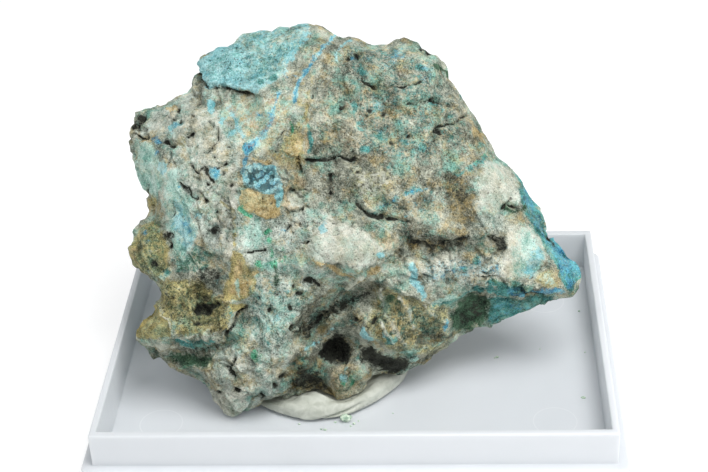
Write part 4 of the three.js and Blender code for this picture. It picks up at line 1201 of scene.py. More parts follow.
        # Brown and black patches: painted shade in the slot and under the rock's lower edge above the
        # putty.
        self.patches(
            Mineral.BROWN, ([(-8.5, -11), (-4.4, -11), (-3, -13), (-8, -17), (-9.8, -16)], 1.2, 0.6),
            ([(-9.4, -19.2), (-6.4, -19.2), (-7.4, -21.6), (-9.8, -21.8)], 1, 0.6),
            ([(-9.4, -21), (-5, -20.6), (-3.6, -23.4), (-4.6, -26.6), (-9.4, -26.8)], 1, 1.0),
        )
        self.patches(
            Mineral.BLACK, ([(-8, -12), (-5, -11.4), (-4.4, -13), (-8, -15.6)], 1.6, 0.52),
            ([(-9.4, -22), (-4.6, -22.4), (-4, -26.8), (-9.6, -26.8)], 1.6, 0.62),
        )
        rib = [
            (-9, -20.5), (-7, -19.2), (-4.6, -17.4), (-2.5, -15.4), (0.4, -13.2), (3.6, -14), (1.5, -17),
            (-2.4, -16.6), (-5.4, -19), (-7.5, -21),
        ]
        self.coats(rib, (Mineral.BROWN, 1.2, 0.7), (Mineral.BLACK, 2.0, 0.5), (Mineral.TEAL, 1.4, 0.46))
        self.band(Mineral.TURQUOISE, [(-7.6, -19.8), (-5, -18.2), (-3, -16.4)], 0.25, 0.6, 0.7)
        # The cavity's black is dark rock with painted shade.
        cavity = [
            (-5.3, -19.6), (-4, -18), (-2.5, -17.1), (0, -18.9), (-0.6, -22.3), (-3.3, -22.1), (-5, -21),
        ]
        self.coats(cavity, (Mineral.TEAL, 1.2, 0.5), (Mineral.BLACK, 1.2, 0.88))
        strip = [(0.5, -19), (3, -18.9), (5, -20.1), (10, -21), (9.5, -23.2), (6, -24), (1.5, -21.8)]
        self.coats(
            strip, (Mineral.DARK_GREEN, 1.2, 0.5), (Mineral.MINT, 1.2, 0.46), (Mineral.BLACK, 1.2, 0.78),
        )
        self.band(Mineral.TEAL, [(0.4, -18.4), (0.8, -20), (1.2, -21.4)], 0.45, 0.8, 0.72)
        self.band(Mineral.MINT, [(2.6, -19), (4, -20.2), (5.6, -20.6)], 0.2, 0.6, 0.62)
        self.spots(Mineral.MINT, [(9.8, -21.6, 0.5), (9.2, -22.6, 0.3)], 0.5)
        bump = [(-4, -22.6), (-0.4, -21.8), (1.4, -22.6), (3.4, -24), (-0.4, -28), (-3.6, -28)]
        self.coats(bump, (Mineral.BEIGE, 0.8, 0.66), (Mineral.DARK_GREEN, 1.5, 0.46))
        self.spots(Mineral.TURQUOISE, [(-1.5, -24.2, 0.8), (-0.8, -23.2, 0.5)], 0.8)
        self.spots(Mineral.MALACHITE, [(-1.6, -25.2, 0.5), (0.2, -24.8, 0.5)], 0.9)
        self.band(Mineral.LINE, [(-4.5, -21.8), (-4.6, -23.8)], 0.25, 0.5, 0.7)

    def blue_veins(self) -> None:
        """Bright blue veins that run down from the upper edge."""
        left = [
            (-11.7, 20.6), (-12.2, 19.5), (-12.8, 18.2), (-12.6, 17), (-13.3, 15.5), (-14.5, 14),
            (-16, 12.8), (-16.8, 11.5),
        ]
        right = [
            (-2.8, 30.2), (-4, 28.8), (-5.2, 27.2), (-6, 26), (-7.2, 24.5), (-8, 23.5), (-8.5, 22),
            (-9.3, 19.7),
        ]
        self.band(Mineral.TURQUOISE, left, 0.5, 0.6, 0.9)
        self.band(Mineral.BLUE, left, 0.2, 0.45, 1.0)
        self.bands(
            Mineral.BLUE, ([(-16.8, 11.5), (-17.2, 10), (-17.3, 8.5)], 0.25, 0.4, 0.95),
            ([(-15, 17.6), (-13.2, 17.3)], 0.15, 0.5, 0.7), ([(-6, 26.2), (-7.2, 24.6)], 0.42, 0.4, 0.9),
            ([(-8.3, 23.2), (-9.6, 23.8), (-10.4, 23.4)], 0.3, 0.6, 0.75),
        )
        self.band(Mineral.TURQUOISE, right, 0.35, 0.6, 0.8)
        self.band(Mineral.BLUE, right, 0.16, 0.45, 1.0)
        self.band(Mineral.TURQUOISE, [(-0.4, 29.4), (-1.8, 28.3), (-2.6, 27), (-2.4, 26)], 0.35, 0.6, 0.8)
        self.spots(Mineral.BLUE, [(-16.6, 12.2, 0.5), (-12.9, 17.6, 0.5), (0.2, 26.4, 0.3)], 0.5)
        self.spots(Mineral.TEAL, [(-16.9, 12.1, 0.6)], 0.6)


@dataclass
class CopperRock:
    """The specimen: a broken lump of rock, stained and crusted by copper minerals."""

    middle: tuple[float, float, float] = (-0.3, -0.21, 27.94)
    sight_distance: float = 253.0
    sight_axis: Place = (0.3, -1.7)
    front_from: float = -8.5
    front_to: float = -6.5
    wander: tuple[tuple[float, float, int, int], ...] = ((0.35, 3.2, 101, 3), (0.16, 0.8, 106, 2))
    break_angle: float = 24.0
    grain_turn: float = 28.0
    grain_stretch: tuple[float, float, float] = (1.25, 0.62, 1.0)
    bend_size: float = 2.2
    chip_size: float = 3.1
    small_chip_size: float = 1.5
    lump_size: float = 4.5
    grain_size: float = 0.9
    broken_size: float = 7.0
    seen_edges: tuple[float, ...] = (0.55, 0.46)
    hidden_edges: tuple[float, ...] = (0.8,)
    name: str = "copper_stained_rock"
    replaced: str = "decrespignyite_rock"

    def build(self) -> bpy.types.Object:
        """Makes the rock from its solid: refined, mapped by mineral, roughened and dressed."""
        shape = copy_of(self.replaced)
        low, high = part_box(self.replaced)
        subdivide(shape, 1, 0.3)
        for longest in self.seen_edges:
            self.refine(shape, longest, True)
        for longest in self.hidden_edges:
            self.refine(shape, longest, False)
        bmesh.ops.triangulate(shape, faces=[f for f in shape.faces if len(f.verts) > 3])
        material, maps = self.dress()
        rock = finish_piece(shape, self.name, material, self.replaced)
        local = self.own_frame(points_of(rock.data, "co") / MM)
        minerals = self.map_minerals(local)
        push_out(rock, self.relief(local, minerals), low, high)
        for kind in maps:
            attribute = rock.data.attributes.new(kind.value, "FLOAT", "POINT")
            attribute.data.foreach_set("value", minerals.amounts[kind].astype(np.float32))
        rock.data.set_sharp_from_angle(angle=math.radians(self.break_angle))
        return rock

    def refine(self, shape: bmesh.types.BMesh, longest: float, seen: bool) -> None:
        """Halves the long edges of one side of the rock.

        Args:
            shape: the rock's mesh.
            longest: the longest edge that stays whole, in millimetres.
            seen: whether it is the seen side or the hidden one.
        """
        edges = [edge for edge in shape.edges if edge.calc_length() > longest * MM]
        middles = np.array([(edge.verts[0].co + edge.verts[1].co) / 2 for edge in edges]) / MM
        on_side = (self.own_frame(middles)[:, 2] > self.front_from) == seen
        chosen = [edge for edge, kept in zip(edges, on_side) if kept]
        bmesh.ops.subdivide_edges(shape, edges=chosen, cuts=1, use_grid_fill=True)

    def own_frame(self, places: np.ndarray) -> np.ndarray:
        """Turns places on the box's axes to the rock's own axes, about its middle."""
        return (places - np.array(self.middle)) @ np.array(view_turn(3))

    def map_minerals(self, local: np.ndarray) -> MineralMap:
        """Maps the minerals of the seen face by region and of the rest by chance.

        Args:
            local: the points on the rock's own axes.

        Returns:
            The filled map.
        """
        spread = 1 - local[:, 2] / self.sight_distance
        axis = np.array(self.sight_axis)
        seen = axis + (local[:, :2] - axis) / spread[:, None]
        for reach, size, seed, octaves in self.wander:
            for side in (0, 1):
                seen[:, side] += reach * Noise.waves(local, size, seed + 10 * side, octaves)
        shown = np.clip((local[:, 2] - self.front_from) / (self.front_to - self.front_from), 0, 1)
        minerals = SeenFace(local, seen, shown)
        minerals.paint()
        self.map_far_side(local, minerals)
        return minerals

    def map_far_side(self, local: np.ndarray, minerals: MineralMap) -> None:
        """Spreads the same minerals over the faces turned away, in lumps and seams.

        Args:
            local: the points on the rock's own axes.
            minerals: the map that is filled in.
        """
        hidden = 1 - minerals.shown
        spread = {
            Mineral.PALE: (11, 0.62), Mineral.BEIGE: (8, 0.36), Mineral.BROWN: (9, 0.36),
            Mineral.OCHRE: (10, 0.30), Mineral.MINT: (9, 0.28), Mineral.TURQUOISE: (12, 0.14),
            Mineral.TEAL: (7, 0.20), Mineral.MALACHITE: (6, 0.04), Mineral.DARK_GREEN: (8, 0.08),
            Mineral.BLACK: (5, 0.02), Mineral.CREAM: (10, 0.22),
        }
        for seed, (kind, (size, amount)) in enumerate(spread.items()):
            lumps = Noise.waves(local, size, 200 + 7 * seed, 3)
            share = np.clip(amount + 0.75 * lumps, 0, 1) * hidden
            minerals.amounts[kind] = np.maximum(minerals.amounts[kind], share)
        seam = np.abs(Noise.waves(local, 14, 330, 2) + 0.15)
        share = np.clip(1 - seam / 0.05, 0, 1) * hidden
        minerals.amounts[Mineral.BLUE] = np.maximum(minerals.amounts[Mineral.BLUE], share)
        # Black pits on the far side: dips painted black as the shade in them.
        pits, _, _ = Noise.cells(local, 5.5, 340)
        pitted = np.clip(4 * Noise.waves(local, 8, 350, 2) - 0.8, 0, 1)
        share = np.clip(2.2 - 12 * pits + 0.6 * minerals.fray, 0, 1) * hidden * pitted
        minerals.amounts[Mineral.BLACK] = np.maximum(minerals.amounts[Mineral.BLACK], share)
        minerals.hollow += 0.6 * share
        for kind, amount in ((Speckle.DARK, 0.22), (Speckle.FLECK, 0.08), (Speckle.RUST, 0.06)):
            minerals.amounts[kind] = np.maximum(minerals.amounts[kind], amount * hidden)

    def relief(self, local: np.ndarray, minerals: MineralMap) -> np.ndarray:
        """Works out how far each point stands out from the smooth rock.

        Args:
            local: the points on the rock's own axes.
            minerals: the rock's mineral map.

        Returns:
            Millimetres along each point's normal.
        """
        bend = [Noise.waves(local, self.bend_size, seed, 2) for seed in (21, 24, 27)]
        turned = np.array(Matrix.Rotation(math.radians(self.grain_turn), 3, "Z"))
        bent = (local + 0.35 * np.stack(bend, axis=1)) @ turned * self.grain_stretch
        _, seam, chips = Noise.cells(bent, self.chip_size, 41)
        _, small_seam, small_chips = Noise.cells(bent, self.small_chip_size, 47)
        lumps = Noise.waves(local, self.lump_size, 51, 3)
        grains = Noise.waves(local, self.grain_size, 61, 2)
        rough = 1 - minerals.calm
        broken = np.clip(0.25 + 1.6 * Noise.waves(local, self.broken_size, 56, 2), 0, 1) * rough
        deep = broken * np.clip(1 - seam / 0.1, 0, 1)
        fine = broken * np.clip(1 - small_seam / 0.14, 0, 1)
        dark = minerals.amounts[Mineral.BLACK]
        chipped = (0.32 + 0.4 * broken) * chips + (0.12 + 0.2 * broken) * small_chips
        height = rough * (0.16 * lumps + chipped)
        height += (0.03 + 0.05 * rough) * grains
        height -= 0.25 * deep + 0.1 * fine + 0.45 * dark * (0.5 + np.abs(grains))
        # Painted shade: how strongly the colour darkens along the seams between chips, where the rock
        # dips.
        minerals.amounts[Speckle.SEAM_SHADE] = np.clip(0.75 * deep + 0.3 * fine, 0, 1)
        return height + minerals.lift - minerals.hollow

    def dress(self) -> tuple[bpy.types.Material, list[Enum]]:
        """Makes the rock's material and gives the attributes that it reads.

        Copper-stained dolomitic rock, broken by hammer: dull and granular, with chalky
        crusts. Its grains are drawn at 0.4 mm, a little coarser than most of the real ones.
        """
        material, tree, shader = new_material("copper_stained_rock_broken")
        where = object_millimetres(tree)
        sizes = {
            "fray_0": (0.8, 6, 0.8), "fray_1": (1.0, 6, 0.8), "fray_2": (0.9, 6, 0.8),
            "cloud": (2.4, 8, 0.72), "dust": (0.2, 2, 0.7), "pepper": (0.42, 4, 0.8),
            "fleck": (0.8, 5, 0.85), "rust": (1.1, 5, 0.85),
            "green": (3.8, 8, 0.78), "warm": (3.0, 8, 0.78), "dark": (2.2, 8, 0.78),
        }
        noise = {}
        for seed, (name, (size, detail, coarse)) in enumerate(sizes.items()):
            settings = {
                "noise_dimensions": "4D", "W": 7.3 * seed,
                "Scale": 1 / size, "Detail": detail, "Roughness": coarse,
            }
            noise[name] = add_node(tree, "ShaderNodeTexNoise", settings, {"Vector": where}).outputs[0]
        both = add_node(
            tree, "ShaderNodeMath", {"operation": "MULTIPLY_ADD", 1: 0.7},
            {0: noise["dust"], 2: noise["cloud"]},
        ).outputs[0]
        shade = add_node(
            tree, "ShaderNodeMapRange", {"From Min": 0.72, "From Max": 0.98}, {"Value": both}
        ).outputs[0]
        salt = add_node(
            tree, "ShaderNodeMapRange", {"From Min": 0.42, "From Max": 0.34, "To Max": 0.42},
            {"Value": noise["pepper"]},
        ).outputs[0]
        colour = self.tone(tree, ROCK_TONE, shade)
        roughness = None
        for number, (kind, tone) in enumerate(TONES.items()):
            if kind is Mineral.DARK_GREEN:
                colour = self.strew(tree, colour, noise["fleck"], Speckle.FLECK, FLECK, shade, 0.75)
                colour = self.strew(tree, colour, noise["rust"], Speckle.RUST, RUST, shade, 0.6)
                colour = add_node(
                    tree, "ShaderNodeMix", {"data_type": "RGBA"},
                    {0: salt, 6: colour, 7: self.tone(tree, SALT, shade)},
                ).outputs[2]
            amount = self.amount(tree, kind, noise[f"fray_{number % 3}"], tone)
            colour = add_node(
                tree, "ShaderNodeMix", {"data_type": "RGBA"},
                {0: amount, 6: colour, 7: self.tone(tree, tone, shade)},
            ).outputs[2]
            for name, stain in (("green", GREEN_STAIN), ("warm", WARM_STAIN), ("dark", DARK_STAIN)):
                if kind in STAIN_STRENGTH:
                    colour = self.stain(tree, colour, noise[name], stain, shade, STAIN_STRENGTH[kind])
            if kind is Mineral.BLUE:
                roughness = add_node(
                    tree, "ShaderNodeMapRange", {"To Min": 0.88, "To Max": 0.55}, {"Value": amount}
                ).outputs[0]
        colour = self.strew(tree, colour, noise["pepper"], Speckle.DARK, DARK_GRAIN, shade, 0.85)
        # Painted shade darkens the colour along the seams between chips.
        seam_shade_amount = add_node(
            tree, "ShaderNodeAttribute", {"attribute_name": Speckle.SEAM_SHADE.value}
        ).outputs["Fac"]
        seam_shade_share = add_node(
            tree, "ShaderNodeMath", {"operation": "MULTIPLY", 1: 0.6}, {0: seam_shade_amount}
        ).outputs[0]
        colour = add_node(
            tree, "ShaderNodeMix", {"data_type": "RGBA", 7: linear(SEAM_SHADE)}, {0: seam_shade_share, 6: colour}
        ).outputs[2]
        crust = add_node(
            tree, "ShaderNodeAttribute", {"attribute_name": Speckle.GRAPES.value}
        ).outputs["Fac"]
        # Painted shade in the gaps between the grapes of the botryoidal crust; the same gaps also dip the
        # bump.
        grape = add_node(
            tree, "ShaderNodeTexVoronoi", {"Scale": 1 / 0.85, "Randomness": 0.9}, {"Vector": where}
        ).outputs["Distance"]
        between = add_node(
            tree, "ShaderNodeMapRange", {"From Min": 0.45, "From Max": 0.64, "To Max": 0.8},
            {"Value": grape},
        ).outputs[0]
        gap_shade_and_dip = add_node(
            tree, "ShaderNodeMath", {"operation": "MULTIPLY"}, {0: crust, 1: between}
        ).outputs[0]
        colour = add_node(
            tree, "ShaderNodeMix", {"data_type": "RGBA", 7: linear(GRAPE_SHADE_COLOUR)}, {0: gap_shade_and_dip, 6: colour}
        ).outputs[2]
        tree.links.new(colour, shader.inputs["Base Color"])
        tree.links.new(roughness, shader.inputs["Roughness"])
        shader.inputs["Specular IOR Level"].default_value = 0.25
        height = add_node(
            tree, "ShaderNodeMath", {"operation": "MULTIPLY_ADD", 1: -1.2},
            {0: noise["pepper"], 2: noise["dust"]},
        ).outputs[0]
        height = add_node(
            tree, "ShaderNodeMath", {"operation": "MULTIPLY_ADD", 1: -0.8}, {0: gap_shade_and_dip, 2: height}
        ).outputs[0]
        bump = add_node(
            tree, "ShaderNodeBump", {"Strength": 0.8, "Distance": 0.35 * MM}, {"Height": height}
        ).outputs[0]
        tree.links.new(bump, shader.inputs["Normal"])
        return material, [*Mineral, *Speckle]

    @classmethod
    def stain(
        cls, tree: bpy.types.NodeTree, colour: bpy.types.NodeSocket, cloud: bpy.types.NodeSocket,
        tone: Tone, shade: bpy.types.NodeSocket, strength: float,
    ) -> bpy.types.NodeSocket:
        """Tints the rock in thin clouds, as copper or iron in the groundwater does.

        Args:
            tree: the material's node tree.
            colour: the colour so far.
            cloud: noise that says where the stain lies.
            tone: its colours.
            shade: the mottling.
            strength: how fully it hides the rock where it is thickest.

        Returns:
            The stained colour.
        """
        thin = add_node(
            tree, "ShaderNodeMapRange", {"From Min": 0.5, "From Max": 0.64, "To Max": strength},
            {"Value": cloud},
        ).outputs[0]
        return add_node(
            tree, "ShaderNodeMix", {"data_type": "RGBA"},
            {0: thin, 6: colour, 7: cls.tone(tree, tone, shade)},
        ).outputs[2]

    @staticmethod
    def tone(
        tree: bpy.types.NodeTree, tone: Tone, shade: bpy.types.NodeSocket
    ) -> bpy.types.NodeSocket:
        """Mixes a mineral's light and dark colours by the mottling."""
        settings = {"data_type": "RGBA", 6: linear(tone.dark), 7: linear(tone.light)}
        return add_node(tree, "ShaderNodeMix", settings, {0: shade}).outputs[2]

    @staticmethod
    def amount(
        tree: bpy.types.NodeTree, kind: Mineral, edge: bpy.types.NodeSocket, tone: Tone
    ) -> bpy.types.NodeSocket:
        """Turns a mineral's amount at a point to a ragged patch.

        Args:
            tree: the material's node tree.
            kind: the mineral.
            edge: noise that frays the patch's edge.
            tone: the mineral's tone, which says how strongly it frays.

        Returns:
            A socket that is 1 where the mineral lies and 0 where it doesn't.
        """
        read = add_node(tree, "ShaderNodeAttribute", {"attribute_name": kind.value}).outputs["Fac"]
        frayed = add_node(
            tree, "ShaderNodeMath", {"operation": "MULTIPLY_ADD", 1: tone.ragged}, {0: edge, 2: read}
        ).outputs[0]
        middle = 0.5 + 0.5 * tone.ragged
        limits = {"From Min": middle - tone.soft, "From Max": middle + tone.soft}
        return add_node(
            tree, "ShaderNodeMapRange", {"interpolation_type": "SMOOTHSTEP", **limits}, {"Value": frayed}
        ).outputs[0]

    @classmethod
    def strew(
        cls, tree: bpy.types.NodeTree, colour: bpy.types.NodeSocket, chance: bpy.types.NodeSocket,
        kind: Speckle, tone: Tone, shade: bpy.types.NodeSocket, cover: float,
    ) -> bpy.types.NodeSocket:
        """Strews grains of another colour over the rock, where their chance is met.

        Args:
            tree: the material's node tree.
            colour: the colour so far.
            chance: noise that is high where a grain may lie.
            kind: the grains, whose attribute says how thickly they lie.
            tone: their colours.
            shade: the mottling.
            cover: how fully a grain hides what is under it.

        Returns:
            The colour with the grains on it.
        """
        read = add_node(tree, "ShaderNodeAttribute", {"attribute_name": kind.value}).outputs["Fac"]
        likely = add_node(
            tree, "ShaderNodeMath", {"operation": "MULTIPLY_ADD", 1: 0.42}, {0: read, 2: chance}
        ).outputs[0]
        part = add_node(
            tree, "ShaderNodeMapRange", {"From Min": 0.64, "From Max": 0.72, "To Max": cover},
            {"Value": likely},
        ).outputs[0]
        return add_node(
            tree, "ShaderNodeMix", {"data_type": "RGBA"},
            {0: part, 6: colour, 7: cls.tone(tree, tone, shade)},
        ).outputs[2]


@dataclass
class BoxBase:
    """White base of the specimen box: a low wall round a flat floor, with a ledge outside."""

    wall: float = 1.1
    front_wall: float = 1.3
    ledge_width: float = 1.7
    ledge_height: float = 2.5
    ledge_corner: float = 1.5
    sharp: float = math.radians(40)
    edge_round: float = 0.25
    mark_radius: float = 3.4
    mark_line: float = 0.09
    mark_inset: Place = (10.5, 13.5)
    name: str = "specimen_box_base"
    replaced: str = "box_base"

    def build(self) -> bpy.types.Object:
        """Makes the base from a block: inset, raised, hollowed and rounded at its edges."""
        low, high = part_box(self.replaced)
        size = high - low
        shape = bmesh.new()
        block = Matrix.Diagonal((size.x, size.y, self.ledge_height * MM, 1))
        block = Matrix.Translation((0, 0, self.ledge_height * MM / 2)) @ block
        bmesh.ops.create_cube(shape, size=1, matrix=block)
        corners = [e for e in shape.edges if abs(e.verts[0].co.z - e.verts[1].co.z) > MM]
        top = max(shape.faces, key=lambda face: face.calc_center_median().z)
        bmesh.ops.inset_region(shape, faces=[top], thickness=self.ledge_width * MM, use_even_offset=True)
        top = self.extrude(shape, top, size.z - self.ledge_height * MM)
        bmesh.ops.inset_region(shape, faces=[top], thickness=self.wall * MM, use_even_offset=True)
        depth = size.y - 2 * (self.ledge_width + self.wall) * MM
        narrowed = (depth - 2 * (self.front_wall - self.wall) * MM) / depth
        bmesh.ops.scale(shape, vec=(1, narrowed, 1), verts=top.verts)
        self.extrude(shape, top, BOX_FLOOR * MM - size.z)
        bmesh.ops.bevel(
            shape, geom=corners, offset=self.ledge_corner * MM, offset_type="OFFSET", affect="EDGES",
            segments=6, profile=0.5, material=-1, clamp_overlap=True,
        )
        sharp = [e for e in shape.edges if len(e.link_faces) == 2 and e.calc_face_angle() > self.sharp]
        bmesh.ops.bevel(
            shape, geom=sharp, offset=self.edge_round * MM, offset_type="OFFSET", affect="EDGES",
            segments=3, profile=0.5, material=-1, clamp_overlap=True,
        )
        base = finish_piece(shape, self.name, self.dress(size), self.replaced)
        base.data.set_sharp_from_angle(angle=math.radians(35))
        return base

    @staticmethod
    def extrude(shape: bmesh.types.BMesh, face: bmesh.types.BMFace, rise: float) -> bmesh.types.BMFace:
        """Extrudes one face straight up or down.

        Args:
            shape: the base's mesh.
            face: the face.
            rise: how far it moves up, in metres.

        Returns:
            The moved face.
        """
        made = bmesh.ops.extrude_discrete_faces(shape, faces=[face])["faces"][0]
        bmesh.ops.translate(shape, vec=(0, 0, rise), verts=made.verts)
        return made

    def dress(self, size: Vector) -> bpy.types.Material:
        """Makes the base's finish, with the ejector marks near the corners of its floor.

        Injection-moulded white polystyrene: a soft sheen, faintly blue-grey in the shade,
        with fine scuffs that are drawn at 6 mm long.

        Args:
            size: the base's length, width and height, in metres.

        Returns:
            The finish.
        """
        material, tree, shader = new_material("polystyrene_moulded_white")
        where = object_millimetres(tree)
        folded = add_node(tree, "ShaderNodeVectorMath", {"operation": "ABSOLUTE"}, {0: where}).outputs[0]
        across, back = self.mark_inset
        mark = (size.x / MM / 2 - across, size.y / MM / 2 - back, BOX_FLOOR)
        away = add_node(
            tree, "ShaderNodeVectorMath", {"operation": "DISTANCE", 1: mark}, {0: folded}
        ).outputs["Value"]
        ring = add_node(
            tree, "ShaderNodeMath", {"operation": "COMPARE", 1: self.mark_radius, 2: self.mark_line},
            {0: away},
        ).outputs[0]
        stretched = add_node(
            tree, "ShaderNodeMapping", {"Scale": (1 / 6, 1 / 0.5, 1 / 6), "Rotation": (0, 0, 0.5)},
            {"Vector": where},
        ).outputs[0]
        scuffs = add_node(
            tree, "ShaderNodeTexNoise", {"Scale": 1.0, "Detail": 3.0}, {"Vector": stretched}
        ).outputs[0]
        dull = add_node(
            tree, "ShaderNodeMapRange",
            {"From Min": 0.45, "From Max": 0.7, "To Min": 0.3, "To Max": 0.42},
            {"Value": scuffs},
        ).outputs[0]
        cloud = add_node(
            tree, "ShaderNodeTexNoise", {"Scale": 1 / 14, "Detail": 2.0}, {"Vector": where}
        ).outputs[0]
        colour = add_node(
            tree, "ShaderNodeMix", {"data_type": "RGBA", 6: linear("#d2d6d9"), 7: linear("#d9dce0")},
            {0: cloud},
        ).outputs[2]
        marked = add_node(
            tree, "ShaderNodeMix", {"data_type": "RGBA", 7: linear("#dcdfe2")}, {0: ring, 6: colour}
        ).outputs[2]
        tree.links.new(marked, shader.inputs["Base Color"])
        tree.links.new(dull, shader.inputs["Roughness"])
        shader.inputs["IOR"].default_value = 1.59
        shader.inputs["Subsurface Weight"].default_value = 0.6
        shader.inputs["Subsurface Radius"].default_value = (1, 1, 1)
        shader.inputs["Subsurface Scale"].default_value = 2 * MM
        bump = add_node(
            tree, "ShaderNodeBump", {"Strength": 0.15, "Distance": 0.02 * MM}, {"Height": ring}
        ).outputs[0]
        tree.links.new(bump, shader.inputs["Normal"])
        return material


@dataclass
class PuttyPad:
    """Pat of mounting putty under the rock, with a second fold lying on it."""

    name: str = "putty_pad"
    replaced: str = "mounting_putty"
    crease: tuple[Spot, ...] = (
        (-8.3, -16.1, 1.4), (-4.5, -16.2, 2.0), (-1.5, -15, 2.4), (0.2, -13.8, 2.7), (1.6, -12.2, 2.8),
        (3.6, -8.5, 3.0), (4.6, -5.6, 3.1),
    )

    def build(self) -> bpy.types.Object:
        """Makes the putty from its solid: refined, creased and pressed by fingers."""
        shape = copy_of(self.replaced)
        subdivide(shape, 3, 0.5)
        low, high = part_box(self.replaced)
        pad = finish_piece(shape, self.name, self.dress(), self.replaced)
        places = points_of(pad.data, "co") / MM
        gap = self.gap_to_crease(places)
        height = 0.10 * Noise.waves(places, 5, 301, 2) + 0.04 * Noise.waves(places, 1.4, 305, 2)
        height += 0.16 * np.exp(-(((gap - 0.5) / 0.4) ** 2)) - 0.45 * np.exp(-((gap / 0.2) ** 2))
        push_out(pad, height, low, high)
        return pad

    def gap_to_crease(self, places: np.ndarray) -> np.ndarray:
        """Measures how far each point is from the crease.

        Args:
            places: the points, in millimetres.

        Returns:
            One distance in millimetres for each point.
        """
        gap = np.full(len(places), FAR)
        line = np.array(self.crease)
        for start, end in zip(line, line[1:]):
            along = end - start
            share = np.clip((places - start) @ along / (along @ along), 0, 1)
            gap = np.minimum(gap, np.linalg.norm(places - start - share[:, None] * along, axis=1))
        return gap

    def dress(self) -> bpy.types.Material:
        """Makes the putty's finish.

        Oil-bound mounting putty, pressed by hand: warm grey-white, satin, with dust from the rock
        worked into it and faint smears, drawn 2 mm wide. Its colours are painted darker than the putty's
        own, as painted shade from the rock above it.
        """
        material, tree, shader = new_material("mounting_putty_pressed")
        where = object_millimetres(tree)
        smear = add_node(
            tree, "ShaderNodeTexNoise",
            {"Scale": 1 / 2.0, "Detail": 5.0, "Roughness": 0.6, "Distortion": 1.2},
            {"Vector": where},
        ).outputs[0]
        shade = add_node(
            tree, "ShaderNodeMapRange", {"From Min": 0.38, "From Max": 0.62}, {"Value": smear}
        ).outputs[0]
        # Grey-white, painted darker as shade from the rock above.
        colour = add_node(
            tree, "ShaderNodeMix", {"data_type": "RGBA", 6: linear("#b5b9ad"), 7: linear("#cbcec3")},
            {0: shade},
        ).outputs[2]
        specks = add_node(tree, "ShaderNodeTexVoronoi", {"Scale": 1 / 0.9}, {"Vector": where})
        chance = add_node(tree, "ShaderNodeSeparateColor", links={0: specks.outputs["Color"]}).outputs[0]
        few = add_node(
            tree, "ShaderNodeMath", {"operation": "LESS_THAN", 1: 0.05}, {0: chance}
        ).outputs[0]
        near = add_node(
            tree, "ShaderNodeMath", {"operation": "LESS_THAN", 1: 0.22}, {0: specks.outputs["Distance"]}
        ).outputs[0]
        speck = add_node(tree, "ShaderNodeMath", {"operation": "MULTIPLY"}, {0: few, 1: near}).outputs[0]
        dusted = add_node(
            tree, "ShaderNodeMix", {"data_type": "RGBA", 7: linear("#8d9484")}, {0: speck, 6: colour}
        ).outputs[2]
        tree.links.new(dusted, shader.inputs["Base Color"])
        shader.inputs["Roughness"].default_value = 0.62
        shader.inputs["IOR"].default_value = 1.48
        bump = add_node(
            tree, "ShaderNodeBump", {"Strength": 0.35, "Distance": 0.1 * MM}, {"Height": smear}
        ).outputs[0]
        tree.links.new(bump, shader.inputs["Normal"])
        return material


def crust_crumb_finish() -> bpy.types.Material:
    """Makes the finish of loose crumbs.

    Pale green copper carbonate crust, crumbled off: chalky and matte, with darker grains
    drawn at 0.3 mm.
    """
    material, tree, shader = new_material("copper_carbonate_crumbled")
    where = object_millimetres(tree)
    noise = add_node(
        tree, "ShaderNodeTexNoise", {"Scale": 1 / 0.5, "Detail": 4.0, "Roughness": 0.7}, {"Vector": where}
    ).outputs[0]
    shade = add_node(
        tree, "ShaderNodeMapRange", {"From Min": 0.36, "From Max": 0.6}, {"Value": noise}
    ).outputs[0]
    colour = add_node(
        tree, "ShaderNodeMix", {"data_type": "RGBA", 6: linear("#7fa489"), 7: linear("#e2efdc")},
        {0: shade},
    ).outputs[2]
    tree.links.new(colour, shader.inputs["Base Color"])
    shader.inputs["Roughness"].default_value = 0.9
    bump = add_node(
        tree, "ShaderNodeBump", {"Strength": 0.5, "Distance": 0.1 * MM}, {"Height": noise}
    ).outputs[0]
    tree.links.new(bump, shader.inputs["Normal"])
    return material


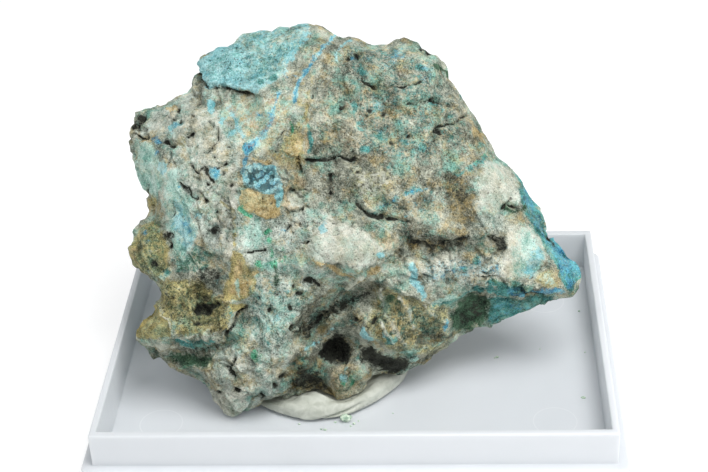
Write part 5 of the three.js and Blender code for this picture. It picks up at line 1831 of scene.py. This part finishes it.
@dataclass
class LooseCrumbs:
    """A crumb of crust in front of the putty, and the dust that fell on the floor."""

    name: str = "crust_crumb"
    replaced: str = "loose_crumb"
    dust_name: str = "floor_dust"
    dust: tuple[Spot, ...] = (
        (-9.1, -16.9, 0.22), (-4.9, -18.4, 0.3), (-5.5, -18.2, 0.2), (22.7, 0.3, 0.3), (22.3, 0.1, 0.18),
        (36.2, -10.7, 0.34), (35.9, -10.6, 0.2), (37.3, 1.5, 0.16), (37.2, 13.3, 0.22), (29.9, 2.5, 0.15),
        (5.7, -14.3, 0.14), (-3.4, -16.5, 0.25), (-0.4, -16.9, 0.28), (0.3, -16.2, 0.18),
        (-0.9, -17.5, 0.2),
    )

    def build(self) -> list[bpy.types.Object]:
        """Makes the crumb from its solid, and the dust as one joined mesh."""
        finish = crust_crumb_finish()
        shape = copy_of(self.replaced)
        low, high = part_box(self.replaced)
        subdivide(shape, 2, 0.3)
        crumb = finish_piece(shape, self.name, finish, self.replaced)
        places = points_of(crumb.data, "co") / MM
        _, _, chips = Noise.cells(places, 0.6, 401)
        push_out(crumb, 0.16 * chips + 0.05 * Noise.waves(places, 0.4, 411, 2), low, high)
        return [crumb, self.build_dust(finish)]

    def build_dust(self, finish: bpy.types.Material) -> bpy.types.Object:
        """Makes the dust: small angular grains, each resting on the floor.

        Args:
            finish: the crumb's finish.

        Returns:
            All of the dust as one piece.
        """
        shape = bmesh.new()
        for number, (x, y, radius) in enumerate(self.dust):
            turned = Euler((0.4 * number, 0.7 * number, 1.3 * number)).to_matrix().to_4x4()
            squashed = Matrix.Diagonal((1.1, 0.85, 0.6, 1))
            place = Matrix.Translation(Vector((x, y, BOX_FLOOR + 0.35 * radius)) * MM)
            bmesh.ops.create_icosphere(
                shape, subdivisions=1, radius=radius * MM,
                matrix=place @ squashed @ turned,
            )
        return finish_piece(shape, self.dust_name, finish)


@dataclass
class Studio:
    """Plain pale floor, soft light and the camera at the photograph's viewing angle."""

    camera_place: tuple[float, float, float] = (15.80, -214.29, 162.59)
    lens: float = 81.43
    light_target: Spot = (0, 0, 22)
    floor_width: float = 6000.0

    def build(self) -> None:
        """Makes the floor, the world, the lights and the camera."""
        self.build_floor()
        self.build_world()
        self.add_light("key_softbox", (150, -120, 455), 260, 1.85)
        self.add_light("right_fill", (400, -190, 180), 240, 0.4)
        self.add_light("left_fill", (-240, -230, 430), 260, 0.4)
        self.build_camera()

    def build_floor(self) -> None:
        """Makes the pale floor.

        Seamless white paper: matte, and lit so that it stays white round the box.
        """
        shape = bmesh.new()
        bmesh.ops.create_grid(shape, x_segments=1, y_segments=1, size=self.floor_width * MM / 2)
        mesh = bpy.data.meshes.new("paper_floor")
        shape.to_mesh(mesh)
        shape.free()
        material, _, shader = new_material("seamless_paper_white")
        shader.inputs["Base Color"].default_value = linear("#c4c4c4")
        shader.inputs["Roughness"].default_value = 0.9
        shader.inputs["Emission Color"].default_value = (1, 1, 1, 1)
        shader.inputs["Emission Strength"].default_value = 0.53
        mesh.materials.append(material)
        floor = bpy.data.objects.new("paper_floor", mesh)
        bpy.context.scene.collection.objects.link(floor)

    def build_world(self) -> None:
        """Makes the even white light that comes from all round."""
        world = bpy.data.worlds.new("studio")
        world.use_nodes = True
        background = world.node_tree.nodes["Background"]
        background.inputs["Color"].default_value = (0.97, 0.985, 1.0, 1)
        background.inputs["Strength"].default_value = 0.43
        scene = bpy.context.scene
        scene.world = world
        scene.view_settings.view_transform = "Standard"

    def add_light(self, name: str, place: Spot, size: float, power: float) -> None:
        """Adds a square softbox that faces the specimen.

        Args:
            name: the light's name.
            place: where it stands, in millimetres.
            size: the length of its side, in millimetres.
            power: its power in watts.
        """
        light = bpy.data.lights.new(name, "AREA")
        light.size = size * MM
        light.energy = power
        lamp = bpy.data.objects.new(name, light)
        lamp.location = Vector(place) * MM
        target = Vector(self.light_target) * MM
        lamp.rotation_euler = (target - lamp.location).to_track_quat("-Z", "Y").to_euler()
        bpy.context.scene.collection.objects.link(lamp)

    def build_camera(self) -> None:
        """Makes the camera, as the photograph was taken."""
        camera = bpy.data.cameras.new("camera")
        camera.lens = self.lens
        camera.sensor_width = 36.0
        camera.sensor_fit = "HORIZONTAL"
        camera.clip_start = 0.01
        camera.clip_end = 20.0
        viewer = bpy.data.objects.new("camera", camera)
        viewer.matrix_world = Matrix.Translation(Vector(self.camera_place) * MM) @ view_turn(4)
        bpy.context.scene.collection.objects.link(viewer)
        bpy.context.scene.camera = viewer


def main() -> None:
    """Builds every piece in order and reports it."""
    logging.basicConfig(level=logging.INFO, format="%(message)s")
    Studio().build()
    pieces = [BoxBase().build(), PuttyPad().build(), CopperRock().build(), *LooseCrumbs().build()]
    for piece in pieces:
        LOG.info("%s: %d faces", piece.name, len(piece.data.polygons))


if __name__ == "__main__":
    main()
